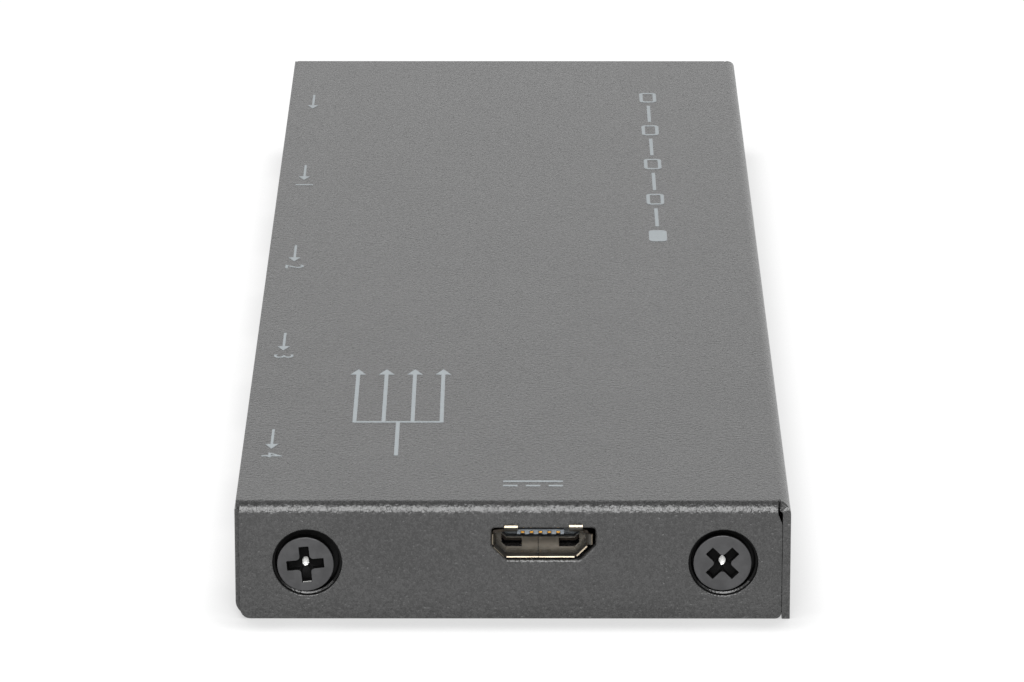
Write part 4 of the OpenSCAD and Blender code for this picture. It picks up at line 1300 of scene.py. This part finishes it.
carriedOver = {
    "board_posts": "brightSteel", "board_screws": "brightSteel", "main_board": "solderMask",
    "power_socket_insulator": "socketPale", "power_socket_contacts": "contactGold",
    "splitter_chip": "chipBlack", "output_drivers": "chipBlack", "control_chip": "chipBlack",
    "memory_chip": "chipBlack", "regulator_chips": "chipBlack", "surge_arrays": "chipBlack",
    "thermal_pad": "padBlue", "heat_spreader": "spreaderAluminium", "clock_crystal": "crystalCan",
    "input_fuse": "fuseGreen", "power_inductors": "inductorGrey", "bulk_capacitors": "capacitorYellow",
    "small_capacitors": "ceramicTan", "small_resistors": "resistorDark", "status_lights": "lightWhite",
}
for socketName in socketNames:
    carriedOver["video_socket_insulator_" + socketName] = "socketBlack"
    carriedOver["video_socket_contacts_" + socketName] = "contactGold"


dressing = {"weld": 0.001, "bevel": 0.03}  # millimetres


def dressNode(name, finish):
    piece = bpy.data.objects[name]
    piece.data.materials.clear()
    piece.data.materials.append(finishes[finish])
    weld = piece.modifiers.new("weld", "WELD")
    weld.merge_threshold = dressing["weld"] * mm
    soften(piece, dressing["bevel"])


for nodeName, finishName in carriedOver.items():
    dressNode(nodeName, finishName)
print("CAD pieces dressed:", len(carriedOver))


# prints on the top

prints = {
    "height": 0.015,
    "sunk": 0.01,           # foot of a print, in the coat
    "line": 0.2,
    "edge": 2.25,           # middle of the socket marks, from the port wall
    "arrow": 4.6,           # length of an arrow
    "arrowHead": 1.1,
    "arrowHalf": 0.45,      # half the head's width, as a share of its length
    "digit": 2.2,           # size of a number
    "digitWidth": 0.6,      # as a share of its size
    "digitGap": 0.8,
    "power": (1.5, 4.5),    # middle of the power mark: across, and in from the end
    "powerWidth": 4.4,
    "powerLine": 0.28,
    "powerRows": (0.55, -0.45),  # the line and its dashes
    "powerDash": 0.24,      # as a share of the line
    "tree": (-8.7, 21.5),   # middle of the splitting pictogram
    "treeSize": (21, 6.6),
    "treeLine": 0.3,
    "treeFork": 0.12,       # back from the middle, as a share of the length
    "treeHead": (1.3, 0.6),  # length and half width of its heads
    "screens": (12.05, 90.5),
    "screensLength": 47,
    "screenSize": (3.2, 1.5),
    "screenCount": 5,
    "screenCorner": 0.45,
    "screenLine": 0.3,
    "screenGap": 1.2,       # from a screen to the line
}


def strokePath(points, width):
    # outline of a line of an even width
    points = [Vector(p) for p in points]
    sides = [[], []]
    for i, here in enumerate(points):
        before = (here - points[i - 1]).normalized() if i else (points[1] - here).normalized()
        after = (points[i + 1] - here).normalized() if i < len(points) - 1 else before
        a, b = Vector((-before.y, before.x)), Vector((-after.y, after.x))
        miter = (a + b) * (width / 2 / (1 + a.dot(b)))
        sides[0].append(here + miter)
        sides[1].append(here - miter)
    return sides[0] + sides[1][::-1]


def addPrint(bm, rings, place):
    # a thin slab on the top from an outline and any holes; place turns (along, up) into (x, y)
    low, high = caseTop - prints["sunk"], caseTop + prints["height"]
    levels = [[[bm.verts.new((*place(*p), z)) for p in ring] for ring in rings] for z in (low, high)]
    for lower, upper in zip(*levels):
        joinRings(bm, [lower, upper])
    for level in levels:
        fillRings(bm, level, lambda v: v.co.xy)


def arrowPath(length, head, width, start=0.0):
    half, neck, line = head * prints["arrowHalf"], start + length - head, width / 2
    points = [(start, -line), (neck, -line), (neck, -half), (start + length, 0)]
    points += [(neck, half), (neck, line), (start, line)]
    return [Vector(p) for p in points]


def addDigit(bm, text, place, along):
    curve = bpy.data.curves.new("digit", "FONT")
    curve.body = text
    curve.size = prints["digit"]
    curve.align_x, curve.align_y = "CENTER", "CENTER"
    curve.extrude = 1
    letter = bpy.data.objects.new("digit", curve)
    bpy.context.scene.collection.objects.link(letter)
    bpy.context.view_layer.update()
    mesh = bpy.data.meshes.new_from_object(letter.evaluated_get(bpy.context.evaluated_depsgraph_get()))
    bpy.data.objects.remove(letter)
    glyph = bmesh.new()
    glyph.from_mesh(mesh)
    bmesh.ops.remove_doubles(glyph, verts=glyph.verts[:], dist=1e-4)
    for vert in glyph.verts:
        rise = prints["height"] if vert.co.z > 0 else -prints["sunk"]
        vert.co = (*place(along + vert.co.x, vert.co.y), caseTop + rise)
    glyph.to_mesh(mesh)
    glyph.free()
    bm.from_mesh(mesh)
    bpy.data.meshes.remove(mesh)
    bpy.data.curves.remove(curve)


def makePrints():
    bm = bmesh.new()
    line, head, length = prints["line"], prints["arrowHead"], prints["arrow"]
    digitWidth = prints["digit"] * prints["digitWidth"]
    for name in socketNames:
        # an arrow at each socket, with a number at the outputs
        def place(along, up, middle=socketMiddles[name].y):
            return portX + prints["edge"] + up, middle - along

        whole = length if name == "input" else length + prints["digitGap"] + digitWidth
        addPrint(bm, [arrowPath(length, head, line, -whole / 2)], place)
        if name != "input":
            addDigit(bm, name[-1], place, whole / 2 - digitWidth / 2)

    # direct current: a line over three dashes
    powerX, powerIn = prints["power"]
    half, line = prints["powerWidth"] / 2, prints["powerLine"]
    lineRow, dashRow = prints["powerRows"]
    dash = prints["powerWidth"] * prints["powerDash"]

    def atPower(along, up):
        return powerX + along, frontY + powerIn + up

    addPrint(bm, [strokePath([(-half, lineRow), (half, lineRow)], line)], atPower)
    for k in (-1, 0, 1):
        mid = k * (half - dash / 2)
        addPrint(bm, [strokePath([(mid - dash / 2, dashRow), (mid + dash / 2, dashRow)], line)], atPower)

    # one line that splits into four
    treeX, treeIn = prints["tree"]
    treeLength, treeWidth = prints["treeSize"]

    def atTree(along, up):
        return treeX + up, frontY + treeIn + along

    end, spread, line = treeLength / 2, treeWidth / 2, prints["treeLine"]
    headLength, headHalf = prints["treeHead"]
    fork, neck = -treeLength * prints["treeFork"], end - headLength
    rows = [spread * (1 - 2 * k / 3) for k in range(4)]
    addPrint(bm, [strokePath([(-end, 0), (fork - line / 2, 0)], line)], atTree)
    outermost = [(neck, rows[0]), (fork, rows[0]), (fork, rows[3]), (neck, rows[3])]
    addPrint(bm, [strokePath(outermost, line)], atTree)
    for row in rows[1:3]:
        addPrint(bm, [strokePath([(fork + line / 2, row), (neck, row)], line)], atTree)
    for row in rows:
        tip = [(neck, row - headHalf), (end, row), (neck, row + headHalf)]
        addPrint(bm, [[Vector(p) for p in tip]], atTree)

    # a row of screens, the first one filled
    screenX, screenIn = prints["screens"]
    w, h = prints["screenSize"]
    count, line, gap = prints["screenCount"], prints["screenLine"], prints["screenGap"]

    def atScreens(along, up):
        return screenX + up, frontY + screenIn + along

    step = (prints["screensLength"] - w) / (count - 1)
    for k in range(count):
        mid = (k - (count - 1) / 2) * step
        signs = ((-1, -1), (1, -1), (1, 1), (-1, 1))
        outer = roundPath([(mid + x * w / 2, y * h / 2, prints["screenCorner"]) for x, y in signs])
        addPrint(bm, [outer, offsetPath(outer, line)] if k else [outer], atScreens)
        if k:
            between = [(mid - step + w / 2 + gap, 0), (mid - w / 2 - gap, 0)]
            addPrint(bm, [strokePath(between, line)], atScreens)
    addPiece("prints", bm, ["printInk"])


makePrints()
print("prints made")


# camera

photoView = {
    "target": (-0.1225, 0, 1.4552),
    "distance": 510.03,
    "elevation": 17.4947,
    "yaw": -0.077,
    "lens": 216.198,
    "sensor": 36,
    "clipStart": 10,
}


def makeCamera():
    rise, yaw = math.radians(photoView["elevation"]), math.radians(photoView["yaw"])
    ahead = Vector((math.sin(yaw) * math.cos(rise), math.cos(yaw) * math.cos(rise), -math.sin(rise)))
    data = bpy.data.cameras.new("photoCamera")
    data.lens = photoView["lens"]
    data.sensor_width = photoView["sensor"]
    data.clip_start = photoView["clipStart"] * mm
    camera = bpy.data.objects.new("photoCamera", data)
    camera.location = (Vector(photoView["target"]) - ahead * photoView["distance"]) * mm
    camera.rotation_euler = ahead.to_track_quat("-Z", "Y").to_euler()
    bpy.context.scene.collection.objects.link(camera)
    bpy.context.scene.camera = camera


makeCamera()
print("camera placed")


# studio

studio = {
    "softbox": {"elevation": 37, "azimuth": 0, "distance": 1.3, "size": (0.7, 1.2), "power": 22},
    "sideCard": {"elevation": 25, "azimuth": -58, "distance": 1.3, "size": (0.4, 0.9), "power": 4},
    "ambient": (0.12, 0.8),  # of the world on matt faces, from the sides and from above
    "ambientFrom": (0.2, 0.9),  # heights between which it changes
    "behind": 0.3,           # and from behind
    "behindFrom": (0.1, 0.8),
    "overhead": 0.14,        # what reflections show above
    "overheadFrom": (0.45, 0.8),
    "front": 0.2,            # and towards the camera
    "frontFrom": (-0.4, 0.3),
    "floorTone": 0.55,
    "floorGrain": 30,        # millimetres
    "floorUneven": 1.03,
    "floorSeen": 0.85,       # share of plain white that the camera sees
    "floorGlossy": 0.95,     # and that reflections see
    "contact": 3.4,          # reach of the soft shadow round the object, millimetres
    "contactPower": 2.2,
    "contactSamples": 8,
    "besides": 0.35,         # its strength beside and behind the object
    "besidesFrom": (-3, 1),  # depths from the end face between which it changes, millimetres
    "floorSize": 8,          # metres
    "floorDrop": 0.02,       # below the case, millimetres
}
white = (1, 1, 1, 1)


def addLight(name, elevation, azimuth, distance, size, power):
    rise, side = math.radians(elevation), math.radians(azimuth)
    towards = Vector((math.sin(side) * math.cos(rise), -math.cos(side) * math.cos(rise), math.sin(rise)))
    data = bpy.data.lights.new(name, "AREA")
    data.shape = "RECTANGLE"
    data.size, data.size_y = size
    data.energy = power
    light = bpy.data.objects.new(name, data)
    light.location = towards * distance
    light.rotation_euler = towards.to_track_quat("Z", "Y").to_euler()
    bpy.context.scene.collection.objects.link(light)


def makeWorld():
    world = bpy.data.worlds.new("studio")
    bpy.context.scene.world = world
    paint = Paint(world)
    path = {name: paint.node("ShaderNodeLightPath", None, None, name)
            for name in ("Is Camera Ray", "Is Glossy Ray", "Is Transmission Ray")}
    direction = paint.node("ShaderNodeTexCoord", None, None, "Generated")
    height = paint.node("ShaderNodeSeparateXYZ", None, {0: direction}, "Z")
    depth = paint.node("ShaderNodeSeparateXYZ", None, {0: direction}, "Y")
    above = paint.ramp(height, *studio["overheadFrom"], 1.0, studio["overhead"])
    horizon = above * paint.ramp(depth, *studio["frontFrom"], studio["front"], 1.0)
    seen = path["Is Glossy Ray"] + path["Is Transmission Ray"]
    around = paint.ramp(height, *studio["ambientFrom"], *studio["ambient"])
    matt = around + paint.ramp(depth, *studio["behindFrom"], 0.0, studio["behind"])
    strength = path["Is Camera Ray"] + seen * horizon + (1 - path["Is Camera Ray"] - seen) * matt
    shader = paint.node("ShaderNodeBackground", None, {"Color": white, "Strength": strength})
    paint.node("ShaderNodeOutputWorld", None, {"Surface": shader})


def makeFloor():
    half = studio["floorSize"] / 2
    mesh = bpy.data.meshes.new("floor")
    drop = -studio["floorDrop"] * mm
    corners = [(-half, -half, drop), (half, -half, drop), (half, half, drop), (-half, half, drop)]
    mesh.from_pydata(corners, [], [(0, 1, 2, 3)])
    floor = bpy.data.objects.new("floor", mesh)
    bpy.context.scene.collection.objects.link(floor)
    material, paint = newFinish("paleFloor")
    grain = paint.noise(studio["floorGrain"], 2, 0.5)
    isCamera = paint.node("ShaderNodeLightPath", None, None, "Is Camera Ray")
    isGlossy = paint.node("ShaderNodeLightPath", None, None, "Is Glossy Ray")
    level = studio["floorTone"]
    paler = level * studio["floorUneven"]
    tone = paint.mix(grain, (level, level, level, 1), (paler, paler, paler, 1))
    lit = paint.node("ShaderNodeBsdfDiffuse", None, {"Color": paint.mix(isCamera, tone, white)})
    # white that the camera sees, with a soft shadow where the case stands close
    settings, sockets = {"samples": studio["contactSamples"]}, {"Distance": studio["contact"] * mm}
    clear = paint.node("ShaderNodeAmbientOcclusion", settings, sockets, "AO") ** studio["contactPower"]
    along = paint.node("ShaderNodeSeparateXYZ", None, {0: paint.place()}, "Y")
    near, far = [(frontY + depth) * mm for depth in studio["besidesFrom"]]
    before = paint.ramp(along, near, far, 1.0, studio["besides"])
    shadow = before * (1 - clear)
    shown = paint.node("ShaderNodeEmission", None, {"Color": white, "Strength": 1 - shadow})
    share = isCamera * studio["floorSeen"] + isGlossy * studio["floorGlossy"]
    mixed = paint.node("ShaderNodeMixShader", None, {0: share, 1: lit, 2: shown})
    # from below the floor is clear
    isBelow = paint.node("ShaderNodeNewGeometry", None, None, "Backfacing")
    air = paint.node("ShaderNodeBsdfTransparent")
    both = paint.node("ShaderNodeMixShader", None, {0: isBelow, 1: mixed, 2: air})
    paint.node("ShaderNodeOutputMaterial", None, {"Surface": both})
    mesh.materials.append(material)


makeWorld()
makeFloor()
for lightName in ("softbox", "sideCard"):
    addLight(lightName, **studio[lightName])
bpy.context.scene.view_settings.view_transform = "Standard"
print("studio made")
